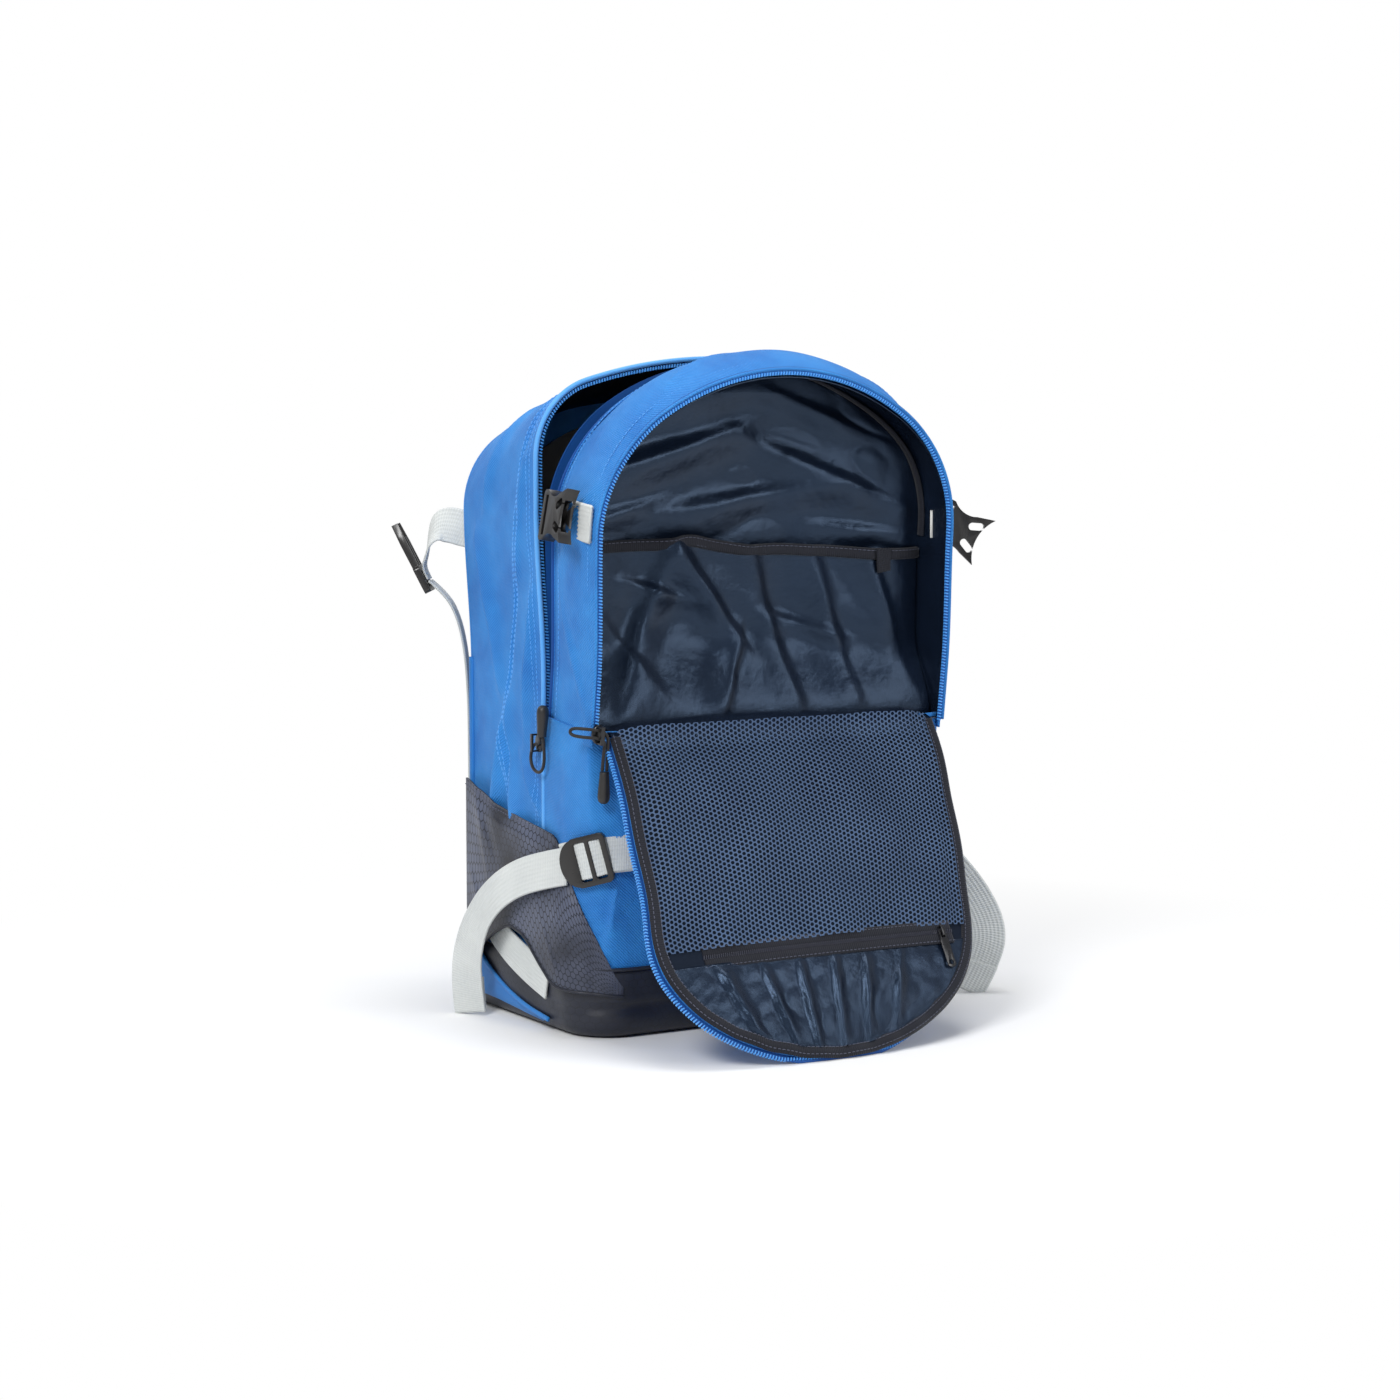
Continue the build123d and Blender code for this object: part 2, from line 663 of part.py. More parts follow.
# ---- front panel: built in the XY plane with y away from the fold, inside face up ----
def flap_outline(inset):
    """Same arch as the opening, as a face in the XY plane."""
    upright = Face(arch_wire(flap_half_width - inset, flap_length - inset, inset, 0))
    return upright.rotate(Axis.X, -90)


def flap_layer(face, z):
    return Pos(0, 0, z[0]) * extrude(face, amount=z[1] - z[0], dir=(0, 0, 1))


def folded_down():
    """Plane of the front panel as it lies: hinged on the fold line, its tip on the floor."""
    y, z = leaned(fold_y, fold_z)
    reach = math.hypot(flap_length, flap_sheet)
    tilt = math.acos(z / reach) + math.atan2(flap_sheet, flap_length)
    down = Vector(0, -math.sin(tilt), -math.cos(tilt))
    return Plane(origin=(0, y, z), x_dir=(-1, 0, 0), z_dir=Vector(-1, 0, 0).cross(down)), tilt


def on_flap(piece):
    plane, _ = folded_down()
    return plane * piece


def flap_panel():
    return on_flap(flap_layer(flap_outline(0), (-flap_sheet, 0)))


def flap_binding():
    ring = flap_layer(flap_outline(0.4), (gap, 2.2)) - flap_layer(flap_outline(flap_band), (0, 3))
    return on_flap(ring)


def flap_zip_track():
    """The other half of the front zip, under the edge of the panel."""
    low = -flap_sheet - gap - tape
    ring = flap_layer(flap_outline(3.2), (low, -flap_sheet - gap))
    ring -= flap_layer(flap_outline(3.2 + tape_width), (low - 1, 0))
    return on_flap(ring - box((-far, far), (-10, 14), (-9, 9)))


def pocket_edge(side):
    """Upper and lower edge of the pocket zip, measured from the fold."""
    return pocket_zip_at + side * pocket_zip_height / 2


def mesh_pocket():
    inside = flap_layer(flap_outline(flap_band + gap), (gap, 1.5))
    return on_flap(inside & box((-far, far), (mesh_from, pocket_edge(-1) - gap), (-9, 9)))


def flap_lining():
    inside = flap_layer(flap_outline(flap_band + gap), (gap, 1.5))
    return on_flap(inside & box((-far, far), (pocket_edge(1) + gap, far), (-9, 9)))


def pocket_zip():
    tape_piece = box((-pocket_zip_right, -pocket_zip_left), (pocket_edge(-1), pocket_edge(1)), (gap, 1.9))
    return on_flap(tape_piece)




def pocket_slider():
    body = extrude(RectangleRounded(11, 7.4, 2), 2.6)
    body = chamfer(body.faces().sort_by(Axis.Z)[-1].edges(), 0.6)
    eye = box((-1.1, 1.1), (-3.7, 3.7), (2.0, 6.6)) - box((-2, 2), (-2.6, 2.6), (2.6, 5.5))
    return on_flap(Pos(-pocket_slider_x, pocket_zip_at, 1.9 + gap) * (body + eye))


def pocket_pull():
    """Metal puller: a ring round the slider's eye, a flat grip and a hole near its end."""
    wire = 1.0
    outline = Pos(0, 2.4) * Rectangle(4.8, 6.0) + Pos(0, 15) * RectangleRounded(6.4, 21, 2.4)
    outline -= Pos(0, 2.6) * Rectangle(2.8, 4.0)
    outline -= Pos(0, 22) * Circle(1.7)
    plate = Pos(0, 0, -wire / 2) * extrude(outline, wire)
    return on_flap(Pos(-pocket_slider_x, pocket_zip_at, 1.9 + gap + pull_rise) * plate)


# ---- every node ----
def all_nodes():
    nodes = {
        "base_panel": base_panel(), "lower_front_panel": lower_front_panel(),
        "lower_divider": lower_divider(), "main_gusset": main_gusset(),
        "main_zip_track": main_zip_track(), "back_panel": back_panel(),
        "frame_sheet": frame_sheet(), "haul_loop": haul_loop(),
        "pod_shell": lean(pod_shell()), "pod_divider": lean(pod_divider()),
        "front_zip_track": lean(front_zip_track()), "pod_zip_track": lean(pod_zip_track()),
        "organiser_pocket": lean(organiser_pocket()), "organiser_binding": lean(organiser_binding()),
        "loop_tab": lean(loop_tab()), "seam_binding": lean(seam_binding()),
        "care_label": lean(care_label()),
        "flap_panel": flap_panel(), "flap_binding": flap_binding(),
        "flap_zip_track": flap_zip_track(), "mesh_pocket": mesh_pocket(),
        "flap_lining": flap_lining(), "pocket_zip": pocket_zip(),
        "pocket_slider": pocket_slider(), "pocket_pull": pocket_pull(),
        "front_slider": front_slider(), "front_cord": cord_tube(front_cord_route, "front_cord"),
        "front_toggle": toggle(front_toggle_top, front_toggle_down),
        "main_slider": main_slider(), "main_cord": cord_tube(main_cord_route, "main_cord"),
        "main_toggle": toggle(main_toggle_top, main_toggle_down),
    }
    for side, word in ((-1, "left"), (1, "right")):
        nodes["back_pad_" + word] = back_pad(side)
        nodes["shoulder_strap_" + word] = shoulder_strap(side)
        nodes["shoulder_webbing_" + word] = shoulder_webbing(side)
        nodes["shoulder_lock_" + word] = shoulder_lock_plane(side) * ladder_lock()
        nodes["side_wing_" + word] = side_wing(side)
        nodes["lower_tab_" + word] = lower_tab(side)
        nodes["load_strap_" + word] = load_strap(side)
        nodes["lower_lock_" + word] = lower_lock_plane(side) * ladder_lock()
        nodes["lower_tail_" + word] = lower_tail(side)
        nodes["upper_strap_" + word] = upper_strap(side)
        nodes["upper_tail_" + word] = upper_tail(side)
        nodes["male_buckle_" + word] = male_plane(side) * male_buckle()
        nodes["pod_tab_" + word] = lean(pod_tab(side))
        nodes["female_buckle_" + word] = female_plane(side) * female_buckle()
    return nodes


os.makedirs("parts", exist_ok=True)
for name, piece in all_nodes().items():
    piece.label = name
    export_step(piece, os.path.join("parts", name + ".step"))
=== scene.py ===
import bpy
import bmesh
import math
import numpy as np
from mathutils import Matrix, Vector


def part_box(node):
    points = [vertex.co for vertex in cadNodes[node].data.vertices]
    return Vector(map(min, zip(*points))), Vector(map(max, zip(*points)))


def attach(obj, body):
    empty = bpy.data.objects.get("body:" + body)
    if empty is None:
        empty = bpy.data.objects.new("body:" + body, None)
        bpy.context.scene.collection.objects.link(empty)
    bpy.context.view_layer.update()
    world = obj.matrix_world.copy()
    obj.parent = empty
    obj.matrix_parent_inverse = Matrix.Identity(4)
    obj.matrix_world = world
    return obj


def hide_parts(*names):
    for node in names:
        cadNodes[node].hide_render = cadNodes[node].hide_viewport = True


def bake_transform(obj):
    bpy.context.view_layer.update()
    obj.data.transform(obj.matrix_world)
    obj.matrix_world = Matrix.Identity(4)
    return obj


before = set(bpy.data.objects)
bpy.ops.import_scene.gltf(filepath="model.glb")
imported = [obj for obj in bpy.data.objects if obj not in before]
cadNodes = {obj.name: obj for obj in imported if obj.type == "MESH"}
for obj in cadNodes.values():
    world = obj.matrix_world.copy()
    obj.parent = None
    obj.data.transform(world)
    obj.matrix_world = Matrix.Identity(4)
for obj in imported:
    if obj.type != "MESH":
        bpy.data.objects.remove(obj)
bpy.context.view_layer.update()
mm = 0.001


def lowOf(node):
    return np.array(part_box(node)[0])


def highOf(node):
    return np.array(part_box(node)[1])


# the driving sizes of the pack, read from the frame where a box gives them
pack = dict(
    half=highOf("main_gusset")[0], frontY=lowOf("base_panel")[1], backY=highOf("back_panel")[1],
    lipTop=highOf("main_gusset")[2], backTop=highOf("back_panel")[2], backHalf=highOf("back_panel")[0],
    tubTop=highOf("base_panel")[2], hingeY=lowOf("main_gusset")[1], hingeZ=202 * mm,
    frontCorner=35 * mm, backThick=3 * mm, shoulderInset=38 * mm,
    crownAngle=math.radians(57), lean=math.radians(7))
backSeam = pack["backY"] - pack["backThick"]
mainDepth = backSeam - pack["hingeY"]
pod = dict(half=highOf("pod_shell")[0], top=452 * mm, floor=206 * mm, back=pack["hingeY"] - 1.6 * mm)
flap = dict(half=127 * mm, length=232 * mm, thick=2 * mm, play=2.4 * mm, rise=1 * mm, zipAt=157 * mm)
slump = dict(reach=5 * mm, low=235 * mm, high=345 * mm)
webbing = dict(wide=25 * mm, thick=1.4 * mm, ribs=9)
teeth = dict(pitch=2.1 * mm, size=(1.3 * mm, 2.8 * mm, 1.5 * mm), slant=0.25)
stitchSize = (2.4 * mm, 0.5 * mm, 0.4 * mm)
sides = ((-1, "left"), (1, "right"))


# ---- curves and surfaces ----

def runAlong(points):
    # distance travelled at each point of a line
    return np.concatenate([[0], np.cumsum(np.linalg.norm(np.diff(points, axis=0), axis=1))])


def lengthOf(path):
    return float(np.linalg.norm(np.diff(np.asarray(path), axis=0), axis=1).sum())


def unit(vectors):
    return vectors / np.linalg.norm(vectors, axis=-1, keepdims=True)


def uprightOf(flat):
    # directions of the (x, z) plane as directions in space
    return np.stack([flat[..., 0], 0 * flat[..., 0], flat[..., 1]], -1)


def rounded(wave, power):
    # the wave with its size raised to a power: under 1 it makes an oval squarer
    return np.sign(wave) * np.abs(wave) ** power


def resample(points, count):
    # evenly spaced along the length: straight interpolation against the running distance
    points = np.asarray(points, float)
    run = runAlong(points)
    even = np.linspace(0, run[-1], count)
    return np.stack([np.interp(even, run, points[:, k]) for k in range(points.shape[1])], 1)


def smoothPath(points, count):
    # corner cutting, four times: each side keeps its middle half, and the end points stay
    points = np.asarray(points, float)
    for _ in range(4):
        near = 0.75 * points[:-1] + 0.25 * points[1:]
        far = 0.25 * points[:-1] + 0.75 * points[1:]
        inner = np.stack([near, far], 1).reshape(-1, points.shape[1])
        points = np.vstack([points[:1], inner, points[-1:]])
    return resample(points, count)


def smoothStep(low, high, value):
    t = np.clip((value - low) / (high - low), 0, 1)
    return t * t * (3 - 2 * t)


def archSide(half, top, bottom, inset, turn):
    # (x, z) up one side of an arch: upright, shoulder arc to the angle turn, then the crown arc
    shoulder = half - inset
    crown = shoulder + inset / math.cos(turn)
    middle = top - crown + (crown - shoulder) * math.sin(turn)
    a = np.linspace(0, turn, 40)
    b = np.linspace(turn, math.pi / 2, 40)
    side = [[half, bottom], [half, middle]]
    arc = np.stack([inset + shoulder * np.cos(a), middle + shoulder * np.sin(a)], 1)
    over = np.stack([crown * np.cos(b), top - crown + crown * np.sin(b)], 1)
    return np.vstack([side, arc[1:], over[1:]])


def archPath(half, top, bottom, count, loose=None):
    # (x, z) along a whole arch; loose gives another shoulder to its left side, as (inset, angle)
    firm = (pack["shoulderInset"], pack["crownAngle"])
    right = archSide(half, top, bottom, *firm)
    left = archSide(half, top, bottom, *(loose or firm)) * [-1, 1]
    if loose is None:
        return resample(np.vstack([left, right[::-1][1:]]), count)
    middle = count // 2
    return np.vstack([resample(left, middle + 1)[:-1], resample(right[::-1], count - middle)])


def archHalf(heights, half, top, bottom, loose=None):
    # half width of the arch at each height; loose gives another shoulder, as (inset, angle)
    path = resample(archSide(half, top, bottom, *(loose or (pack["shoulderInset"], pack["crownAngle"]))), 401)
    return np.interp(heights, path[:, 1], path[:, 0])


def planNormals(path):
    # unit normals to the left of a flat path
    along = unit(np.gradient(path, axis=0))
    return np.stack([-along[:, 1], along[:, 0]], 1)


def footprintPath(count, grow, startY):
    # (x, y) round the left side, the front and the right side of the plan, with round front corners
    h, f, r = pack["half"] + grow, pack["frontY"] - grow, pack["frontCorner"] + grow
    a = np.linspace(0, math.pi / 2, 24)
    left = np.stack([-h + r - r * np.cos(a), f + r - r * np.sin(a)], 1)
    right = (left * [-1, 1])[::-1]
    return resample(np.vstack([[[-h, startY]], left, right, [[h, startY]]]), count)


def lean(points):
    # turns points of the upright front compartment forward about its hinge line
    c, s = math.cos(pack["lean"]), math.sin(pack["lean"])
    y, z = points[..., 1] - pack["hingeY"], points[..., 2] - pack["hingeZ"]
    return np.stack([points[..., 0], pack["hingeY"] + y * c - z * s, pack["hingeZ"] + y * s + z * c], -1)


def settle(points):
    # the upper pack has slumped a little to one side
    shift = -slump["reach"] * smoothStep(slump["low"], slump["high"], points[..., 2])
    return points + np.stack([shift, 0 * shift, 0 * shift], -1)


def inPod(x, y, z):
    # points of the upright front compartment, leaned and settled into place
    return settle(lean(np.stack([x, y, z], -1)))


foldLine = lean(np.array([0, pack["frontY"] - flap["play"], pod["floor"] + flap["rise"]]))
flapReach = math.hypot(flap["length"], flap["thick"])
flapTilt = math.acos(foldLine[2] / flapReach) + math.atan2(flap["thick"], flap["length"])
flapDown = np.array([0, -math.sin(flapTilt), -math.cos(flapTilt)])
flapOut = np.array([0, -math.cos(flapTilt), math.sin(flapTilt)])


def onFlap(x, v, n):
    # x across, v down the panel from its fold, n out of its inside face
    x, v, n = np.broadcast_arrays(x, v, n)
    place = foldLine + v[..., None] * flapDown + n[..., None] * flapOut
    place[..., 0] += x
    place[..., 2] = np.maximum(place[..., 2], 3.4 * mm)
    return place


def flapShape(x, v):
    # the panel hangs askew: it narrows on its right and its tip lies to the left
    share = v / flap["length"]
    middle = -22 * mm * smoothStep(0.05, 0.95, share)
    return x * (1 - 0.085 * smoothStep(0.1, 0.7, share) * (1 - share)) + middle


def flapSag(x, v):
    # height off the flat: a belly, a lifted lower edge and slow waves along the sides
    share = v / flap["length"]
    edge = np.abs(x) / flap["half"]
    belly = 4.5 * mm * np.sin(math.pi * np.clip(share, 0, 1)) * (1 - edge ** 2)
    wave = 1.6 * mm * edge ** 3 * np.sin(share * 17 + np.sign(x) * 0.8) * np.clip(share * 4, 0, 1)
    return belly + wave


def creases(u, v, folds):
    # sum of ridges, given in mm: each is a segment with a bell across it and a taper to its ends
    u, v = np.broadcast_arrays(u, v)
    total = np.zeros(u.shape)
    for u0, v0, u1, v1, wide, high in np.array(folds) * mm:
        du, dv = u1 - u0, v1 - v0
        length = math.hypot(du, dv)
        t = ((u - u0) * du + (v - v0) * dv) / length ** 2
        off = ((u - u0) * dv - (v - v0) * du) / length
        end = np.clip(t, 0, 1)
        past = (t - end) * length
        skew = np.where(off > 0, 1.0, 0.45)
        bell = np.exp(-((off / (wide * skew)) ** 2)) * np.exp(-((past / (1.5 * wide)) ** 2))
        total += high * bell * (0.55 + 0.45 * np.sin(math.pi * end))
    return total


def rumple(u, v, scale, seed):
    # smooth unevenness: sines of turned and bent coordinates, with fixed phases
    a = u / scale + 0.8 * np.sin(v / scale * 0.7 + seed)
    b = v / scale + 0.8 * np.sin(u / scale * 0.6 + 2 * seed)
    return (np.sin(a * 2.1 + b * 0.9 + seed) + np.sin(b * 2.7 - a * 1.1 + 3 * seed)
            + 0.6 * np.sin(a * 3.9 + b * 3.1 + 5 * seed)) / 2.6


# ---- meshes ----

def newObject(name, data):
    obj = bpy.data.objects.new(name, data)
    bpy.context.scene.collection.objects.link(obj)
    return obj


def meshObject(name, verts, faces, uvs=None):
    mesh = bpy.data.meshes.new(name)
    faces = faces.tolist() if isinstance(faces, np.ndarray) else faces
    mesh.from_pydata(np.asarray(verts, float).reshape(-1, 3).tolist(), [], faces)
    mesh.polygons.foreach_set("use_smooth", np.ones(len(mesh.polygons), bool))
    if uvs is not None:
        layer = mesh.uv_layers.new(name="cloth")
        corner = np.zeros(len(mesh.loops), int)
        mesh.loops.foreach_get("vertex_index", corner)
        layer.data.foreach_set("uv", np.asarray(uvs, float).reshape(-1, 2)[corner].ravel())
    mesh.update()
    return newObject(name, mesh)


def gridFaces(rows, columns, wrapRows=False, wrapColumns=False):
    i = np.arange(rows if wrapRows else rows - 1)
    j = np.arange(columns if wrapColumns else columns - 1)
    i, j = np.meshgrid(i, j, indexing="ij")
    i2, j2 = (i + 1) % rows, (j + 1) % columns
    quads = np.stack([i * columns + j, i2 * columns + j, i2 * columns + j2, i * columns + j2], -1)
    return quads.reshape(-1, 4)


def gridUvs(points):
    # real distances along the rows and the columns, so a weave keeps its size
    along = np.linalg.norm(np.diff(points, axis=0), axis=2).mean(1)
    across = np.linalg.norm(np.diff(points, axis=1), axis=2)[::4].mean(0)
    u = np.concatenate([[0], np.cumsum(along)])
    v = np.concatenate([[0], np.cumsum(across)])
    return np.stack(np.meshgrid(u, v, indexing="ij"), -1)


def facing(obj, outward):
    # turns an open sheet's faces over if they look the wrong way on the whole
    mesh = obj.data
    normals = np.zeros(len(mesh.polygons) * 3)
    mesh.polygons.foreach_get("normal", normals)
    centres = np.zeros(len(mesh.polygons) * 3)
    mesh.polygons.foreach_get("center", centres)
    want = outward(centres.reshape(-1, 3)) if callable(outward) else np.array(outward)[None, :]
    if (normals.reshape(-1, 3) * want).sum() < 0:
        mesh.flip_normals()


def sheetPiece(name, points, outward, thick=0.0):
    # an open grid surface, given a wall behind its outward side
    points = np.asarray(points, float)
    obj = meshObject(name, points, gridFaces(*points.shape[:2]), gridUvs(points))
    facing(obj, outward)
    if thick:
        wall = obj.modifiers.new("wall", "SOLIDIFY")
        wall.thickness, wall.offset = thick, -1
    return obj


def framesAlong(path, normals):
    along = unit(np.gradient(path, axis=0))
    across = unit(np.cross(along, normals))
    return along, across, np.cross(across, along)


def sweepPiece(name, path, normals, profile):
    # carries a closed (across, out) profile along a path; flat caps close the ends
    path, profile = np.asarray(path, float), np.asarray(profile, float)
    normals = np.broadcast_to(np.asarray(normals, float), path.shape)
    _, across, out = framesAlong(path, normals)
    profile = np.broadcast_to(profile, (len(path),) + profile.shape[-2:])
    verts = (path[:, None] + profile[..., :1] * across[:, None] + profile[..., 1:] * out[:, None])
    rows, columns = verts.shape[:2]
    faces = gridFaces(rows, columns, False, True).tolist()
    faces += [list(range(columns)), list(range((rows - 1) * columns, rows * columns))[::-1]]
    uvs = np.stack(np.meshgrid(runAlong(path), runAlong(profile[0]), indexing="ij"), -1)
    return outwards(meshObject(name, verts, faces, uvs))


def outwards(obj):
    # closed pieces: faces turned to point out
    work = bmesh.new()
    work.from_mesh(obj.data)
    bmesh.ops.recalc_face_normals(work, faces=work.faces)
    work.to_mesh(obj.data)
    work.free()
    return obj


def roundProfile(radius, count, flat=1.0):
    a = np.linspace(0, 2 * math.pi, count, endpoint=False)
    return np.stack([radius * np.cos(a), radius * flat * np.sin(a)], 1)


def bandProfile(wide, thick, ribs=0):
    # flat band with round edges; ribs raise low ridges along it
    w, t = wide / 2, thick / 2
    x = np.linspace(-w + t, w - t, max(ribs * 4, 2))
    high = t + 0.18 * mm * np.cos(2 * math.pi * ribs * x / wide) if ribs else np.full(len(x), t)
    top = np.stack([x, high], 1)
    return np.vstack([top, [[w, 0]], (top * [1, -1])[::-1], [[-w, 0]]])


def repeatAlong(name, path, normals, pitch, size, slant=0.0):
    # low blocks with narrower tops, evenly spaced along a path; slant turns each in its plane
    path = np.asarray(path, float)
    normals = np.broadcast_to(np.asarray(normals, float), path.shape)
    count = max(int(lengthOf(path) / pitch), 2)
    both = resample(np.hstack([path, normals * 1e-6]), count)
    spots = both[:, :3]
    along, across, out = framesAlong(spots, unit(both[:, 3:]))
    l, w, h = np.array(size) / 2
    c, s = math.cos(slant), math.sin(slant)
    corners = np.array([[-1, -1], [1, -1], [1, 1], [-1, 1]], float)
    low = corners * [l, w]
    high = corners * [l * 0.55, w * 0.75]
    block = np.vstack([np.hstack([low, np.full((4, 1), -h)]), np.hstack([high, np.full((4, 1), h)])])
    block[:, :2] = block[:, :2] @ np.array([[c, s], [-s, c]])
    verts = (spots[:, None] + block[None, :, :1] * along[:, None] + block[None, :, 1:2] * across[:, None]
             + block[None, :, 2:] * out[:, None])
    quads = np.array([[0, 3, 2, 1], [4, 5, 6, 7], [0, 1, 5, 4], [1, 2, 6, 5], [2, 3, 7, 6], [3, 0, 4, 7]])
    faces = (quads[None] + 8 * np.arange(count)[:, None, None]).reshape(-1, 4)
    obj = meshObject(name, verts, faces, np.zeros((len(verts) * 8, 2)))
    obj.data.polygons.foreach_set("use_smooth", np.zeros(len(faces), bool))
    return outwards(obj)


def stitchRow(name, line, normals, made, body, slot, size=stitchSize, pitch=3.4 * mm):
    wear(repeatAlong(name, line, normals, pitch, size), made, body, slot)


def softened(name, node, wide=0.4 * mm, segments=2):
    # a copy of a moulded node with its doubles merged and its edges rounded
    mesh = cadNodes[node].data.copy()
    mesh.name = name
    work = bmesh.new()
    work.from_mesh(mesh)
    bmesh.ops.remove_doubles(work, verts=work.verts, dist=1e-6)
    bmesh.ops.dissolve_limit(work, angle_limit=math.radians(2), verts=work.verts, edges=work.edges)
    bmesh.ops.recalc_face_normals(work, faces=work.faces)
    work.to_mesh(mesh)
    work.free()
    mesh.polygons.foreach_set("use_smooth", np.ones(len(mesh.polygons), bool))
    obj = newObject(name, mesh)
    edge = obj.modifiers.new("edge", "BEVEL")
    edge.width, edge.segments, edge.limit_method = wide, segments, "ANGLE"
    edge.angle_limit = math.radians(35)
    edge.harden_normals = True
    return obj


def wear(obj, material, body, slot, *nodes):
    # dresses a piece, puts it on its body and hides the parts it stands in for
    obj.data.materials.clear()
    obj.data.materials.append(material)
    if body:
        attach(obj, body)
    if nodes:
        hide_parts(*nodes)
    return obj


# ---- materials ----

def tone(red, green, blue):
    # screen colour to the linear values that shaders take
    c = np.array([red, green, blue]) / 255
    lin = np.where(c <= 0.04045, c / 12.92, ((c + 0.055) / 1.055) ** 2.4)
    return (*lin.tolist(), 1.0)


def groupOf(name, inputs, outputs):
    tree = bpy.data.node_groups.new(name, "ShaderNodeTree")
    for label, kind, value in inputs:
        socket = tree.interface.new_socket(label, in_out="INPUT", socket_type=kind)
        if value is not None:
            socket.default_value = value
    for label, kind in outputs:
        tree.interface.new_socket(label, in_out="OUTPUT", socket_type=kind)
    return tree, tree.nodes.new("NodeGroupInput"), tree.nodes.new("NodeGroupOutput")


def feed(tree, socket, value):
    # an output is linked to the socket, anything else becomes its fixed value
    if isinstance(value, bpy.types.NodeSocket):
        tree.links.new(value, socket)
    else:
        socket.default_value = value


def mathNode(tree, kind, *values):
    node = tree.nodes.new("ShaderNodeMath")
    node.operation = kind
    for socket, value in zip(node.inputs, values):
        feed(tree, socket, value)
    return node.outputs[0]


def vectorNode(tree, kind, *values):
    node = tree.nodes.new("ShaderNodeVectorMath")
    node.operation = kind
    for socket, value in zip(node.inputs, values):
        feed(tree, socket, value)
    return node.outputs["Value" if kind in ("DOT_PRODUCT", "LENGTH") else "Vector"]


def makeWeave():
    # crossed threads on the cloth's own map: diagonal ribs plus a fine cross thread
    tree, start, end = groupOf("weave", [
        ("Map", "NodeSocketVector", None), ("Pitch", "NodeSocketFloat", 0.001),
        ("Diagonal", "NodeSocketFloat", 1.0)], [("Height", "NodeSocketFloat"), ("Shade", "NodeSocketFloat")])
    rate = mathNode(tree, "DIVIDE", 2 * math.pi, start.outputs["Pitch"])
    parts = tree.nodes.new("ShaderNodeSeparateXYZ")
    tree.links.new(start.outputs["Map"], parts.inputs[0])
    u = mathNode(tree, "MULTIPLY", parts.outputs[0], rate)
    v = mathNode(tree, "MULTIPLY", parts.outputs[1], rate)
    turned = mathNode(tree, "ADD", u, mathNode(tree, "MULTIPLY", v, start.outputs["Diagonal"]))
    rib = mathNode(tree, "SINE", turned)
    cross = mathNode(tree, "SINE", mathNode(tree, "MULTIPLY", v, 2.0))
    both = mathNode(tree, "MULTIPLY_ADD", cross, 0.35, rib)
    height = mathNode(tree, "MULTIPLY_ADD", both, 0.37, 0.5)
    cloud = tree.nodes.new("ShaderNodeTexNoise")
    cloud.inputs["Scale"].default_value = 60
    cloud.inputs["Detail"].default_value = 3
    tree.links.new(start.outputs["Map"], cloud.inputs["Vector"])
    shade = mathNode(tree, "MULTIPLY_ADD", cloud.outputs[0], 0.5, mathNode(tree, "MULTIPLY", height, 0.5))
    tree.links.new(height, end.inputs["Height"])
    tree.links.new(shade, end.inputs["Shade"])
    return tree


def makeHexes():
    # distance to the edge of the nearest hexagon: two offset grids, the nearer centre wins
    tree, start, end = groupOf("hexagons", [
        ("Map", "NodeSocketVector", None), ("Cell", "NodeSocketFloat", 0.005)],
        [("Edge", "NodeSocketFloat")])
    ratio = math.sqrt(3)
    size = tree.nodes.new("ShaderNodeCombineXYZ")
    for k in range(3):
        tree.links.new(start.outputs["Cell"], size.inputs[k])
    scaled = vectorNode(tree, "DIVIDE", start.outputs["Map"], size.outputs[0])

    def centred(shift):
        moved = vectorNode(tree, "ADD", scaled, shift)
        share = vectorNode(tree, "FRACTION", vectorNode(tree, "DIVIDE", moved, (1.0, ratio, 1.0)))
        flat = vectorNode(tree, "MULTIPLY", vectorNode(tree, "SUBTRACT", share, (0.5, 0.5, 0.0)),
                          (1.0, ratio, 0.0))
        return flat, vectorNode(tree, "DOT_PRODUCT", flat, flat)

    def edgeOf(flat):
        away = vectorNode(tree, "ABSOLUTE", flat)
        slanted = vectorNode(tree, "DOT_PRODUCT", away, (0.5, ratio / 2, 0.0))
        upright = vectorNode(tree, "DOT_PRODUCT", away, (1.0, 0.0, 0.0))
        return mathNode(tree, "SUBTRACT", 0.5, mathNode(tree, "MAXIMUM", slanted, upright))

    first, firstFar = centred((0.0, 0.0, 0.0))
    second, secondFar = centred((0.5, ratio / 2, 0.0))
    nearer = mathNode(tree, "LESS_THAN", firstFar, secondFar)
    keep = mathNode(tree, "MULTIPLY", edgeOf(first), nearer)
    other = mathNode(tree, "MULTIPLY", edgeOf(second), mathNode(tree, "SUBTRACT", 1.0, nearer))
    tree.links.new(mathNode(tree, "ADD", keep, other), end.inputs["Edge"])
    return tree


def makeMottle():
    # slow unevenness of a surface, from its place on the object
    tree, start, end = groupOf("mottle", [("Scale", "NodeSocketFloat", 20.0)],
                               [("Value", "NodeSocketFloat")])
    place = tree.nodes.new("ShaderNodeTexCoord")
    cloud = tree.nodes.new("ShaderNodeTexNoise")
    cloud.inputs["Detail"].default_value = 5
    tree.links.new(place.outputs["Object"], cloud.inputs["Vector"])
    tree.links.new(start.outputs["Scale"], cloud.inputs["Scale"])
    tree.links.new(cloud.outputs[0], end.inputs["Value"])
    return tree


weave, hexagons, mottle = makeWeave(), makeHexes(), makeMottle()


